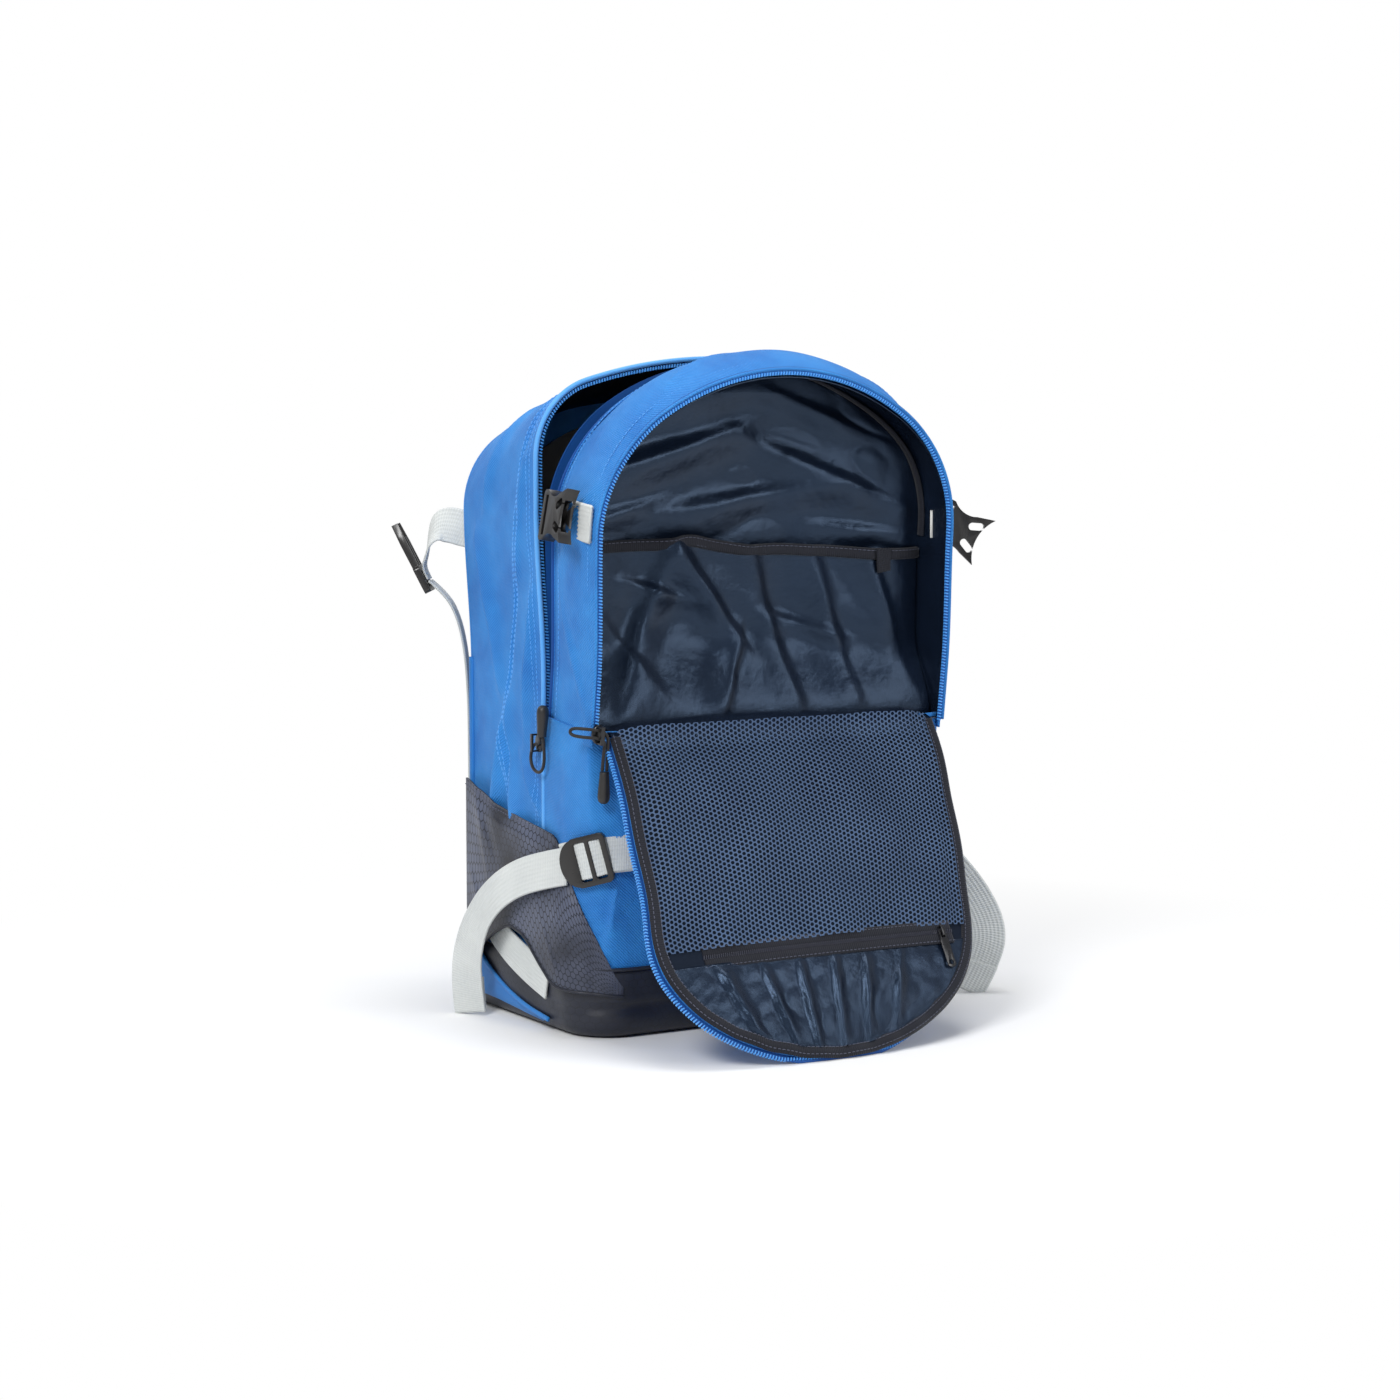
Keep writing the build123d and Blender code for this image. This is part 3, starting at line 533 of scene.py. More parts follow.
def material(name, roughness, metallic=0.0, **fixed):
    made = bpy.data.materials.new(name)
    made.use_nodes = True
    shader = made.node_tree.nodes["Principled BSDF"]
    shader.inputs["Roughness"].default_value = roughness
    shader.inputs["Metallic"].default_value = metallic
    for label, value in fixed.items():
        shader.inputs[label.replace("_", " ")].default_value = value
    return made, made.node_tree, shader


def useGroup(tree, group, **values):
    node = tree.nodes.new("ShaderNodeGroup")
    node.node_tree = group
    for label, value in values.items():
        feed(tree, node.inputs[label], value)
    return node


def clothMap(tree):
    node = tree.nodes.new("ShaderNodeUVMap")
    node.uv_map = "cloth"
    return node.outputs[0]


def blendTones(tree, share, low, high):
    node = tree.nodes.new("ShaderNodeMix")
    node.data_type = "RGBA"
    tree.links.new(share, node.inputs[0])
    feed(tree, node.inputs[6], low)
    feed(tree, node.inputs[7], high)
    return node.outputs[2]


def bumpFrom(tree, shader, height, depth, strength=1.0, before=None):
    node = tree.nodes.new("ShaderNodeBump")
    node.inputs["Distance"].default_value = depth
    node.inputs["Strength"].default_value = strength
    tree.links.new(height, node.inputs["Height"])
    if before is not None:
        tree.links.new(before, node.inputs["Normal"])
    tree.links.new(node.outputs[0], shader.inputs["Normal"])
    return node.outputs[0]


def clothMaterial(name, dark, light, pitch, roughness, depth=0.25 * mm, sheen=0.2, diagonal=1.0,
                  crinkle=0.0, gloss=0.35, **fixed):
    made, tree, shader = material(name, roughness, Sheen_Weight=sheen, Sheen_Roughness=0.5,
                                  Specular_IOR_Level=gloss, **fixed)
    threads = useGroup(tree, weave, Map=clothMap(tree), Pitch=pitch, Diagonal=diagonal)
    cloud = useGroup(tree, mottle, Scale=22.0)
    share = mathNode(tree, "MULTIPLY_ADD", cloud.outputs[0], 0.9,
                     mathNode(tree, "MULTIPLY_ADD", threads.outputs["Shade"], 0.75, -0.35))
    share.node.use_clamp = True
    tree.links.new(blendTones(tree, share, dark, light), shader.inputs["Base Color"])
    before = None
    if crinkle:
        fine = useGroup(tree, mottle, Scale=95.0)
        before = bumpFrom(tree, shader, fine.outputs[0], crinkle, 0.6)
    bumpFrom(tree, shader, threads.outputs["Height"], depth, 0.7, before)
    return made


blueTwill = clothMaterial("blue twill", tone(6, 88, 172), tone(58, 154, 230), 2.1 * mm, 0.6, 0.7 * mm, 0.05,
                          crinkle=2.4 * mm)
azureCloth = clothMaterial("azure cloth", tone(22, 108, 190), tone(44, 138, 214), 1.1 * mm, 0.55, 0.2 * mm, 0.1)
satin = (0.38, 0.56, 0.86, 1.0)
liningCloth = clothMaterial("navy lining", tone(9, 15, 26), tone(19, 29, 46), 0.7 * mm, 0.27, 0.06 * mm, 0.0,
                            crinkle=1.6 * mm, gloss=0.75, Specular_Tint=satin)
# the same navy lining, darker and less glossy, for places inside the pack and under the netting: its darker colour is
# painted shade
shadedLining = clothMaterial("lining darkened as painted shade", tone(10, 13, 22), tone(18, 23, 36), 0.7 * mm, 0.5, 0.06 * mm, 0.0,
                           gloss=0.25, Specular_Tint=satin)
bindingTape = clothMaterial("dark grosgrain", tone(16, 18, 26), tone(32, 34, 44), 1.5 * mm, 0.75, 0.3 * mm,
                            0.08, diagonal=0.0, gloss=0.25)
webbingTape = clothMaterial("grey webbing", tone(186, 190, 190), tone(222, 225, 222), 1.6 * mm, 0.7, 0.3 * mm,
                            0.2, diagonal=0.15)
blueTape = clothMaterial("blue zip tape", tone(4, 62, 132), tone(14, 86, 164), 0.9 * mm, 0.6, 0.15 * mm, 0.05,
                         diagonal=0.0)
backMesh = clothMaterial("spacer mesh", tone(38, 42, 56), tone(62, 66, 82), 2.4 * mm, 0.8, 0.5 * mm, 0.35)
labelCloth = clothMaterial("white label", tone(214, 214, 210), tone(240, 240, 236), 0.6 * mm, 0.6, 0.1 * mm)
cordCloth = clothMaterial("black cord", tone(20, 18, 18), tone(44, 42, 42), 0.9 * mm, 0.55, 0.25 * mm, 0.1)
threadBlue = clothMaterial("blue thread", tone(64, 146, 222), tone(104, 176, 240), 0.5 * mm, 0.6, 0.05 * mm)
threadDark = clothMaterial("dark thread", tone(60, 64, 82), tone(84, 88, 106), 0.5 * mm, 0.6, 0.05 * mm)


def makeCoated(name, ink):
    # charcoal coating with a lighter hexagon print in places, as strong as its ink
    made, tree, shader = material(name, 0.42, Specular_IOR_Level=0.4)
    cells = useGroup(tree, hexagons, Map=clothMap(tree), Cell=5.4 * mm)
    patches = useGroup(tree, mottle, Scale=14.0)
    inside = mathNode(tree, "GREATER_THAN", cells.outputs["Edge"], 0.075)
    where = mathNode(tree, "MULTIPLY_ADD", patches.outputs[0], 4.2, -1.55)
    where.node.use_clamp = True
    printed = mathNode(tree, "MULTIPLY", inside, where)
    base = blendTones(tree, useGroup(tree, mottle, Scale=30.0).outputs[0], tone(22, 24, 34), tone(34, 37, 48))
    tree.links.new(blendTones(tree, mathNode(tree, "MULTIPLY", printed, ink), base, tone(104, 112, 136)),
                   shader.inputs["Base Color"])
    threads = useGroup(tree, weave, Map=clothMap(tree), Pitch=1.2 * mm)
    first = bumpFrom(tree, shader, inside, 0.12 * mm, 0.5)
    bumpFrom(tree, shader, threads.outputs["Height"], 0.1 * mm, 0.4, first)
    return made


def makeNet():
    # open netting: the middle of each cell is a hole
    made, tree, shader = material("open netting", 0.6, Sheen_Weight=0.05, Specular_IOR_Level=0.3)
    cells = useGroup(tree, hexagons, Map=clothMap(tree), Cell=3.4 * mm)
    thread = mathNode(tree, "LESS_THAN", cells.outputs["Edge"], 0.15)
    tree.links.new(thread, shader.inputs["Alpha"])
    cloud = useGroup(tree, mottle, Scale=25.0)
    tree.links.new(blendTones(tree, cloud.outputs[0], tone(50, 70, 100), tone(74, 98, 132)),
                   shader.inputs["Base Color"])
    bumpFrom(tree, shader, cells.outputs["Edge"], 0.8 * mm, 0.5)
    return made


def plasticMaterial(name, low, high, roughness, metallic=0.0, coat=0.2):
    made, tree, shader = material(name, roughness, metallic, Coat_Weight=coat, Coat_Roughness=0.2)
    cloud = useGroup(tree, mottle, Scale=160.0)
    tree.links.new(blendTones(tree, cloud.outputs[0], low, high), shader.inputs["Base Color"])
    rough = mathNode(tree, "MULTIPLY_ADD", cloud.outputs[0], 0.18, roughness - 0.08)
    tree.links.new(rough, shader.inputs["Roughness"])
    bumpFrom(tree, shader, useGroup(tree, mottle, Scale=900.0).outputs[0], 0.05 * mm, 0.3)
    return made


coated, printed = makeCoated("coated charcoal", 0.05), makeCoated("printed charcoal", 0.6)
netting = makeNet()
blackPlastic = plasticMaterial("black acetal", tone(24, 22, 22), tone(36, 34, 33), 0.3)
blackRubber = plasticMaterial("black moulded end", tone(28, 26, 26), tone(40, 38, 37), 0.45, coat=0.05)
blackMetal = plasticMaterial("black lacquered zinc", tone(22, 22, 24), tone(34, 34, 38), 0.28, 0.3)
blueCoil = plasticMaterial("blue nylon coil", tone(56, 140, 222), tone(88, 168, 240), 0.35)
darkCoil = plasticMaterial("dark nylon coil", tone(34, 36, 48), tone(50, 52, 66), 0.45)
stiffSheet = plasticMaterial("stiff sheet", tone(70, 70, 70), tone(86, 86, 86), 0.5, coat=0.0)

# the lower divider takes the darker lining copy, whose darker colour is painted shade inside the pack
for node, made in (("frame_sheet", stiffSheet), ("lower_divider", shadedLining), ("main_zip_track", blueTape)):
    cadNodes[node].data.materials.clear()
    cadNodes[node].data.materials.append(made)
print("materials ready")


# ---- camera ----

view = dict(place=(-1.030, -1.714, 0.386), turn=(85, 0, -31), lens=74.06)
cameraData = bpy.data.cameras.new("camera")
cameraData.lens, cameraData.sensor_width = view["lens"], 36
camera = newObject("camera", cameraData)
camera.location = view["place"]
camera.rotation_euler = [math.radians(a) for a in view["turn"]]
bpy.context.scene.camera = camera


# ---- cord pulls and free strap ends ----

cordPulls = dict(
    thick=2.2 * mm,
    front=[(-133.0, -98.6, 178.4), (-132.7, -99.9, 188.6), (-131.7, -100.8, 199.4), (-145.2, -100.6, 200.8),
           (-152.0, -90.6, 201.8), (-152.0, -90.6, 206.6), (-145.2, -100.6, 206.4), (-129.5, -100.8, 203.7),
           (-129.5, -99.7, 190.8), (-129.6, -98.6, 178.3)],
    main=[(-148.5, -43.1, 196.0), (-148.3, -42.2, 193.2), (-147.9, -38.6, 191.6), (-147.9, -34.2, 191.2),
          (-147.9, -30.2, 188.4), (-149.0, -29.4, 181.0), (-149.2, -33.5, 174.4), (-148.4, -40.5, 172.2),
          (-147.9, -46.0, 175.8), (-147.9, -47.6, 186.0), (-148.5, -46.5, 196.0)])


def splineCurve(name, route, thick):
    data = bpy.data.curves.new(name, "CURVE")
    data.dimensions, data.resolution_u = "3D", 10
    data.bevel_depth, data.bevel_resolution, data.use_fill_caps = thick / 2, 3, True
    line = data.splines.new("NURBS")
    line.points.add(len(route) - 1)
    line.points.foreach_set("co", np.hstack([np.array(route) * mm, np.ones((len(route), 1))]).ravel())
    line.order_u = 3
    line.use_endpoint_u = True
    return newObject(name, data)


def splinePoints(route, count):
    # points read from the route's own smooth spline
    curve = splineCurve("route", route, 0)
    mesh = bpy.data.meshes.new_from_object(curve)
    points = np.array([v.co for v in mesh.vertices])
    bpy.data.objects.remove(curve)
    bpy.data.meshes.remove(mesh)
    return resample(points, count)


for which, body in (("front", "front_slider"), ("main", "main_slider")):
    route = cordPulls[which]
    pull = splineCurve(which + "CordPull", route, cordPulls["thick"])
    end = softened(which + "PullEnd", which + "_toggle", 0.3 * mm)
    wear(end, blackRubber, body, "toggle_plastic", which + "_toggle")
    wear(pull, cordCloth, body, "cord", which + "_cord")
    lengthOf(splinePoints(route, 400))

# routes in mm on the left side, each with the way its width lies at even steps
strapEnds = dict(
    lower=[(-144.9, -69.8, 113.6), (-152.5, -50.0, 109.0), (-158.0, -22.0, 100.0), (-162.0, 2.0, 86.0),
           (-164.5, 20.0, 68.0), (-165.5, 32.0, 46.0), (-165.0, 36.0, 24.0), (-163.0, 34.0, 1.2)],
    lowerAcross=[(0, 0.25, 0.97), (0, 0.3, 0.95), (0, 0.4, 0.9), (-0.05, 0.6, 0.8), (-0.15, 0.75, 0.62),
                 (-0.35, 0.85, 0.4), (-0.5, 0.85, 0.1), (-0.55, 0.83, 0)],
    lowerRight=[(-144.9, -69.8, 113.6), (-153.0, -52.0, 112.0), (-164.0, -38.0, 106.0), (-177.0, -46.0, 92.0),
                (-186.0, -68.0, 70.0), (-188.0, -87.0, 46.0), (-182.0, -87.0, 24.0), (-176.0, -76.0, 1.5)],
    lowerRightAcross=[(0, 0.25, 0.97), (-0.1, 0.1, 0.98), (-0.4, -0.1, 0.9), (-0.65, -0.35, 0.65),
                      (-0.8, -0.48, 0.35), (-0.85, -0.5, 0.15), (-0.86, -0.5, 0.05), (-0.86, -0.5, 0)],
    upper=[(-155.0, 108.3, 293.7), (-145.0, 101.8, 284.0), (-138.0, 98.0, 268.0), (-133.8, 95.8, 246.0),
           (-132.0, 94.8, 218.0), (-131.5, 94.4, 184.0), (-131.6, 94.3, 149.5)],
    upperAcross=[(0.515, 0.857, 0)] * 7)


def strapPiece(name, path, across, wide=webbing["wide"], thick=webbing["thick"], ribs=webbing["ribs"]):
    # webbing along a path: across gives its width direction at even steps, evened out between them
    path, across = np.asarray(path, float), np.asarray(across, float)
    steps = np.linspace(0, 1, len(across))
    here = np.linspace(0, 1, len(path))
    across = np.stack([np.interp(here, steps, across[:, k]) for k in range(3)], 1)
    along = np.gradient(path, axis=0)
    return sweepPiece(name, path, np.cross(across, along), bandProfile(wide, thick, ribs))


tailLengths = {}
for side, word in sides:
    for which in ("lower", "upper"):
        flip = np.array([-side, 1, 1])
        shown = which + "Right" if which == "lower" and side > 0 else which
        route = [tuple(flip * p) for p in strapEnds[shown]]
        line = splinePoints(route, 90)
        across = np.array(strapEnds[shown + "Across"]) * flip
        tail = strapPiece(which + "StrapEnd" + word.title(), line, across)
        wear(tail, webbingTape, "pack_body", "webbing", which + "_tail_" + word)
        # the end is turned back on itself and sewn
        turned = line[-14:] - np.cross(across[-1], unit(line[-1] - line[-14])) * 1.3 * mm
        hem = strapPiece(which + "Hem" + word.title(), turned, [across[-1]] * 2, thick=1.2 * mm)
        wear(hem, webbingTape, "pack_body", "webbing")
        tailLengths[which + " " + word] = round(lengthOf(line) / mm)
print("cords and strap ends ready, tail lengths in mm", tailLengths)


# ---- front compartment ----

def archSkin(name, half, top, bottom, y0, y1, rows, columns, shape, outward, thick):
    # (along the arch, across its depth) grid; shape gives the move out of the arch's own plane
    path = archPath(half, top, bottom, rows)
    out = planNormals(path)
    u = np.linspace(0, lengthOf(path), rows)[:, None]
    v = np.linspace(0, 1, columns)[None, :]
    away = shape(u, v, path[:, 1:])
    x = path[:, :1] + out[:, :1] * away
    z = path[:, 1:] + out[:, 1:] * away
    y = y0 + (y1 - y0) * v + 0 * u
    return sheetPiece(name, inPod(x, y, z), outward, thick)


def awayFromMiddle(centres):
    return np.stack([centres[:, 0], 0 * centres[:, 1], centres[:, 2] - 200 * mm], 1)


podSkin = dict(frontY=pack["frontY"] + 1 * mm, backY=pod["back"] - 1 * mm, crown=3 * mm, topDrop=7 * mm,
               lift=4 * mm, wall=1.5 * mm,
               folds=[(20, 8, 90, 45, 4, 1.5), (110, 50, 170, 12, 5, 1.2), (240, 10, 310, 40, 5, 1.2),
                      (400, 45, 440, 10, 4, 1)])


def podBulge(u, v, z):
    # the band is crowned between its two zips, most at the top, with soft rumples
    edge = podSkin["crown"] + (podSkin["topDrop"] - podSkin["crown"]) * smoothStep(340 * mm, 440 * mm, z)
    arch = (2 * v - 1) ** 2
    soft = 0.9 * mm * rumple(u, v * 60 * mm, 34 * mm, 1.7) * (1 - arch)
    crease = 1.6 * creases(u, v * 57 * mm + 0 * u, podSkin["folds"])
    full = podSkin["lift"] * smoothStep(380 * mm, 450 * mm, z)
    return -edge * arch + soft + (crease + full) * (1 - arch)


gusset = archSkin("podGusset", pod["half"], pod["top"], pod["floor"] - 6 * mm, podSkin["frontY"], podSkin["backY"],
                  300, 25, podBulge, awayFromMiddle, podSkin["wall"])
wear(gusset, blueTwill, "front_pod", "main_fabric", "pod_shell")


def podRing(inset, topInset, y, rows=420, bottom=None):
    # a line round the compartment at one depth, as (points, outward directions, forward directions)
    base = archPath(pod["half"], pod["top"], pod["floor"] if bottom is None else bottom, rows)
    out = planNormals(base)
    z = base[:, 1:]
    away = inset + (topInset - inset) * smoothStep(340 * mm, 440 * mm, z)
    flat = base - out * away
    points = np.stack([flat[:, 0], np.full(rows, y), flat[:, 1]], 1)
    wide = uprightOf(out)
    ahead = np.tile([0.0, -1.0, 0.0], (rows, 1))
    turned = lean(points + wide * mm) - lean(points)
    forward = lean(points + ahead * mm) - lean(points)
    return settle(lean(points)), turned / mm, forward / mm


for part, y, sign, node in (("frontZip", pack["frontY"] + 0.4 * mm, 1, "front_zip_track"),
                            ("podZip", pod["back"] - 0.6 * mm, -1, "pod_zip_track")):
    inside = (4.6 * mm, 7.6 * mm) if sign > 0 else (5.2 * mm, 9.4 * mm)
    line, outs, forward = podRing(inside[0] - 0.8 * mm, inside[1] - 0.8 * mm, y)
    wear(sweepPiece(part + "Tape", line, forward * sign, bandProfile((5.4 if sign > 0 else 8) * mm, 1.1 * mm)),
         blueTape, "front_pod", "zip_coil", node)
    line, outs, forward = podRing(inside[0] + 0.6 * mm, inside[1] + 0.6 * mm, y - sign * 0.9 * mm)
    wear(repeatAlong(part + "Coil", line, forward * sign, teeth["pitch"], teeth["size"], teeth["slant"]),
         blueCoil, "front_pod", "zip_coil")
    line, outs, forward = podRing(2.2 * mm if sign > 0 else 3.2 * mm, 5.6 * mm, y - sign * 0.3 * mm)
    wear(sweepPiece(part + "Piping", line, outs, roundProfile(1.25 * mm, 8)), blueTwill, "front_pod", "main_fabric")

for share, name in ((0.16, "Front"), (0.86, "Back")):
    away = podBulge(np.zeros((1, 1)), np.array([[share]]), np.array([[250 * mm]]))[0, 0]
    depth = podSkin["frontY"] + (podSkin["backY"] - podSkin["frontY"]) * share
    line, outs, forward = podRing(-away - 0.1 * mm, -away - 0.2 * mm, depth)
    stitchRow("podStitch" + name, line, outs, threadBlue, "front_pod", "main_fabric", (2.4 * mm, 0.5 * mm, 0.5 * mm))


def archSheet(half, top, bottom, rows, columns):
    # (s, t) grid over an arch: s from side to side, t up, closer together near the crown
    t = np.sin(np.linspace(0, math.pi / 2, rows) * 0.999)[:, None]
    z = bottom + (top - bottom) * t
    s = np.linspace(-1, 1, columns)[None, :]
    x = archHalf(z[:, 0], half, top, bottom)[:, None] * s
    return x, z + 0 * s, s + 0 * z, t + 0 * s


podLining = dict(
    gap=3.2 * mm, backY=pod["back"] - 4.4 * mm,
    folds=[(-118, 405, 20, 438, 14, 7), (-110, 372, -10, 400, 15, 8), (5, 392, 110, 352, 15, 8),
           (-60, 345, 50, 362, 13, 6), (20, 425, 100, 395, 10, 6), (-120, 340, -70, 352, 10, 5),
           (62, 336, 118, 330, 10, 5)])


def stuffing(x, z):
    # how far the loose lining stands forward of its wall: towards the sill, and on the right
    low = 37 * mm * smoothStep(pod["floor"] + 78 * mm, pod["floor"] + 4 * mm, z) ** 1.4
    side = 17 * mm * smoothStep(10 * mm, 125 * mm, x) + 6 * mm * smoothStep(-60 * mm, -130 * mm, x)
    side = side * smoothStep(445 * mm, 380 * mm, z)
    return np.sqrt(low ** 2 + side ** 2)


x, z, s, t = archSheet(pod["half"] - podLining["gap"], pod["top"] - podLining["gap"] - 6 * mm,
                       pod["floor"] + 1 * mm, 150, 170)
rise = creases(x, z, podLining["folds"]) + 2.6 * mm * rumple(x, z, 34 * mm, 2.3)
held = np.clip((1 - np.abs(s)) * 9, 0, 1) * np.clip((1 - t) * 14, 0, 1)
y = podLining["backY"] - 1.0 * mm - np.abs(rise) * held - stuffing(x, z)
backWall = sheetPiece("podBackLining", inPod(x, y, z), (0, -1, 0), 0.7 * mm)
wear(backWall, liningCloth, "front_pod", "lining", "pod_divider")
y = np.full_like(x, pod["back"] - 1.6 * mm) + 0.8 * mm * rumple(x, z, 44 * mm, 4.1) * held
# the rear panel takes the darker lining copy: painted shade on the inner wall
wear(sheetPiece("podRearPanel", inPod(x, y, z), (0, 1, 0), 0.7 * mm),
     shadedLining, "front_pod", "lining")


def liningBulge(u, v, z):
    # the side lining lies just inside the skin, with shallow creases running in from the seam
    edge = podSkin["topDrop"] * smoothStep(340 * mm, 440 * mm, z) * (2 * v - 1) ** 2
    return -edge - 0.6 * mm + 0.8 * mm * rumple(u, v * 50 * mm, 22 * mm, 3.9) * np.sin(math.pi * v) - 0.8 * mm


wear(archSkin("podSideLining", pod["half"] - podLining["gap"], pod["top"] - podLining["gap"], pod["floor"],
              pack["frontY"] + 1.5 * mm, podLining["backY"], 260, 17, liningBulge,
              lambda c: -awayFromMiddle(c), 0.6 * mm),
     liningCloth, "front_pod", "lining")

fx = np.linspace(-1, 1, 60)[:, None] * (pod["half"] - 3 * mm)
fy = np.linspace(pack["frontY"] + 0.5 * mm, podLining["backY"], 16)[None, :]
fz = pod["floor"] + 1.2 * mm + 0.8 * mm * rumple(fx, fy, 24 * mm, 0.6)
wear(sheetPiece("podFloorLining", lean(np.stack(np.broadcast_arrays(fx, fy, fz), -1)), (0, 0, 1), 0.8 * mm),
     liningCloth, "front_pod", "lining")

line, outs, forward = podRing(5.4 * mm, 9.4 * mm, podLining["backY"] - 4.2 * mm, 300, 330 * mm)
line = line + forward * stuffing(line[:, :1], line[:, 2:])
seam = sweepPiece("podSeamBinding", line, outs, bandProfile(7 * mm, 1.6 * mm))
wear(seam, bindingTape, "front_pod", "binding", "seam_binding")

organiser = dict(
    half=pod["half"] - 6.4 * mm, low=pod["floor"] + 2 * mm, top=326 * mm, backY=podLining["backY"] - 2 * mm,
    folds=[(-105, 225, -62, 312, 16, 9), (-52, 318, -12, 262, 13, 11), (-12, 262, -30, 225, 11, 7),
           (4, 312, 24, 230, 15, 8), (50, 316, 70, 235, 17, 8), (92, 314, 116, 245, 13, 7),
           (-122, 285, -85, 240, 12, 6), (-90, 300, -55, 290, 8, 5), (20, 275, 66, 262, 9, 5)])


def organiserTop(x):
    # the bound edge is a loose line: high on its left, with a dip and a small peak
    share = x / organiser["half"]
    peak = 3.2 * mm * np.exp(-((share + 0.34) / 0.11) ** 2)
    dip = 2.2 * mm * np.exp(-((share - 0.02) / 0.16) ** 2)
    return organiser["top"] - 1.5 * mm + 3.5 * mm * np.cos(share * 2.2 + 1.1) + peak - dip


def organiserDepth(x, z):
    # how far the pocket hangs off the wall: nothing at its sewn edges, most along its mouth
    share = np.clip(1 - np.abs(x / organiser["half"]) ** 6, 0, 1)
    rise = np.clip((z - organiser["low"]) / 60 / mm, 0, 1)
    slack = 6.5 * mm * rise + 2.0 * mm * np.cos(x / organiser["half"] * 6 + 0.7) * rise
    loose = np.abs(creases(x, z, organiser["folds"])) + 1.8 * mm * rumple(x, z, 26 * mm, 5.2) * rise
    return (slack + loose) * share + stuffing(x, z)


ox = np.linspace(-1, 1, 170)[None, :] * organiser["half"]
ot = np.linspace(0, 1, 110)[:, None]
oz = organiser["low"] + (organiserTop(ox) - organiser["low"]) * ot
ox = ox + 0 * oz
oy = organiser["backY"] - 0.6 * mm - organiserDepth(ox, oz)
pocket = sheetPiece("organiserPocket", inPod(ox, oy, oz), (0, -1, 0), 0.6 * mm)
wear(pocket, liningCloth, "front_pod", "lining", "organiser_pocket")
edgeLine = inPod(ox[-1], oy[-1] - 0.3 * mm, oz[-1] - 3 * mm)
mouth = sweepPiece("organiserBinding", edgeLine, (0, -1, 0), bandProfile(8 * mm, 2.2 * mm))
wear(mouth, bindingTape, "front_pod", "binding", "organiser_binding")
for k, drop in enumerate((0.6 * mm, 5.4 * mm)):
    line = inPod(ox[-1], oy[-1] - 1.5 * mm, oz[-1] - drop)
    stitchRow("organiserStitch%d" % k, line, (0, -1, 0), threadDark, "front_pod", "binding",
              (2.3 * mm, 0.4 * mm, 0.3 * mm), 3.2 * mm)
tabX = np.array([101 * mm])
tabTop = organiserTop(tabX)
tabY = organiser["backY"] - 0.6 * mm - organiserDepth(tabX, tabTop)[0] - 2.4 * mm
tabLine = np.array([[tabX[0], tabY, tabTop[0] + 1 * mm], [tabX[0], tabY, tabTop[0] - 8 * mm],
                    [tabX[0] + 0.6 * mm, tabY, tabTop[0] - 15 * mm]])
tab = strapPiece("loopTab", settle(lean(smoothPath(tabLine, 20))), [(1, 0, 0), (1, 0.1, 0)], 12 * mm, 1.6 * mm, 5)
wear(tab, bindingTape, "front_pod", "binding", "loop_tab")
labelLow = lowOf("care_label")
labelMiddle = (labelLow + highOf("care_label")) / 2
labelLine = np.stack([labelMiddle[0] - 6 * mm + 1.2 * mm * np.sin(np.linspace(0, 3, 12)),
                      np.linspace(labelLow[1] - 17 * mm, labelLow[1] - 14.6 * mm, 12),
                      np.full(12, labelMiddle[2])], 1)
label = sweepPiece("careLabel", labelLine, (-1, 0, 0), bandProfile(19 * mm, 0.6 * mm))
wear(label, labelCloth, "front_pod", "label", "care_label")
print("front compartment ready")


# ---- main compartment ----

# the open mouth gapes: its left shoulder has fallen outwards to a squarer line
mainSkin = dict(
    wall=1.8 * mm, depth=113 * mm, mouthShoulder=(89 * mm, math.radians(73)), backShoulder=(78 * mm, math.radians(62)),
    folds=[(30, 11.3, 120, 50.85, 8, 3), (60, 84.75, 170, 56.5, 9, 3.2), (150, 28.25, 240, 11.3, 7, 2.2),
           (190, 67.8, 290, 90.4, 8, 2.6), (260, 33.9, 330, 16.95, 6, 2), (320, 79.1, 380, 62.15, 7, 2.2),
           (100, 5.65, 135, 33.9, 5, 2)])


def upperSkin(inset, rows, columns, shape):
    # loft from the mouth's arch to the smaller back arch; u along the arch, v from front to back
    low = pack["tubTop"] - 2 * mm
    front = archPath(pack["half"] - inset, pack["lipTop"] - inset, low, rows, mainSkin["mouthShoulder"])
    rear = archPath(pack["backHalf"] - inset, pack["backTop"] - inset, low, rows, mainSkin["backShoulder"])
    v = np.linspace(0, 1, columns)[None, :, None]
    flat = front[:, None] * (1 - v) + rear[:, None] * v
    out = planNormals(front)[:, None]
    u = np.linspace(0, lengthOf(front), rows)[:, None]
    away = shape(u, v[..., 0], flat[..., 1])[..., None]
    flat = flat + out * away
    y = pack["hingeY"] + mainDepth * v[..., 0] + 0 * u
    return settle(np.stack([flat[..., 0], y, flat[..., 1]], -1)), out


def mainRumple(u, v, z):
    # stretched folds over the side, fading to nothing at the mouth and at the back seam
    depth = v * mainSkin["depth"] + 0 * u
    held = np.clip(v * 8, 0, 1) * np.clip((1 - v) * 8, 0, 1)
    half = np.where(u > 520 * mm, 1050 * mm - u, u)
    slack = 2.2 * creases(half, depth, mainSkin["folds"]) + 1.5 * mm * rumple(u, depth, 36 * mm, 0.9)
    sink = -2.2 * mm * np.exp(-((v - seamShare(z)) / 0.022) ** 2)
    return (slack + sink) * held


def seamShare(z):
    # where the side seam runs between the mouth and the back, from the crown down to the wing
    y = np.interp(z, [60 * mm, 150 * mm, 205 * mm, 340 * mm, 440 * mm], [10, 14, 23, -12, -22]) * mm
    return (y - pack["hingeY"]) / mainDepth


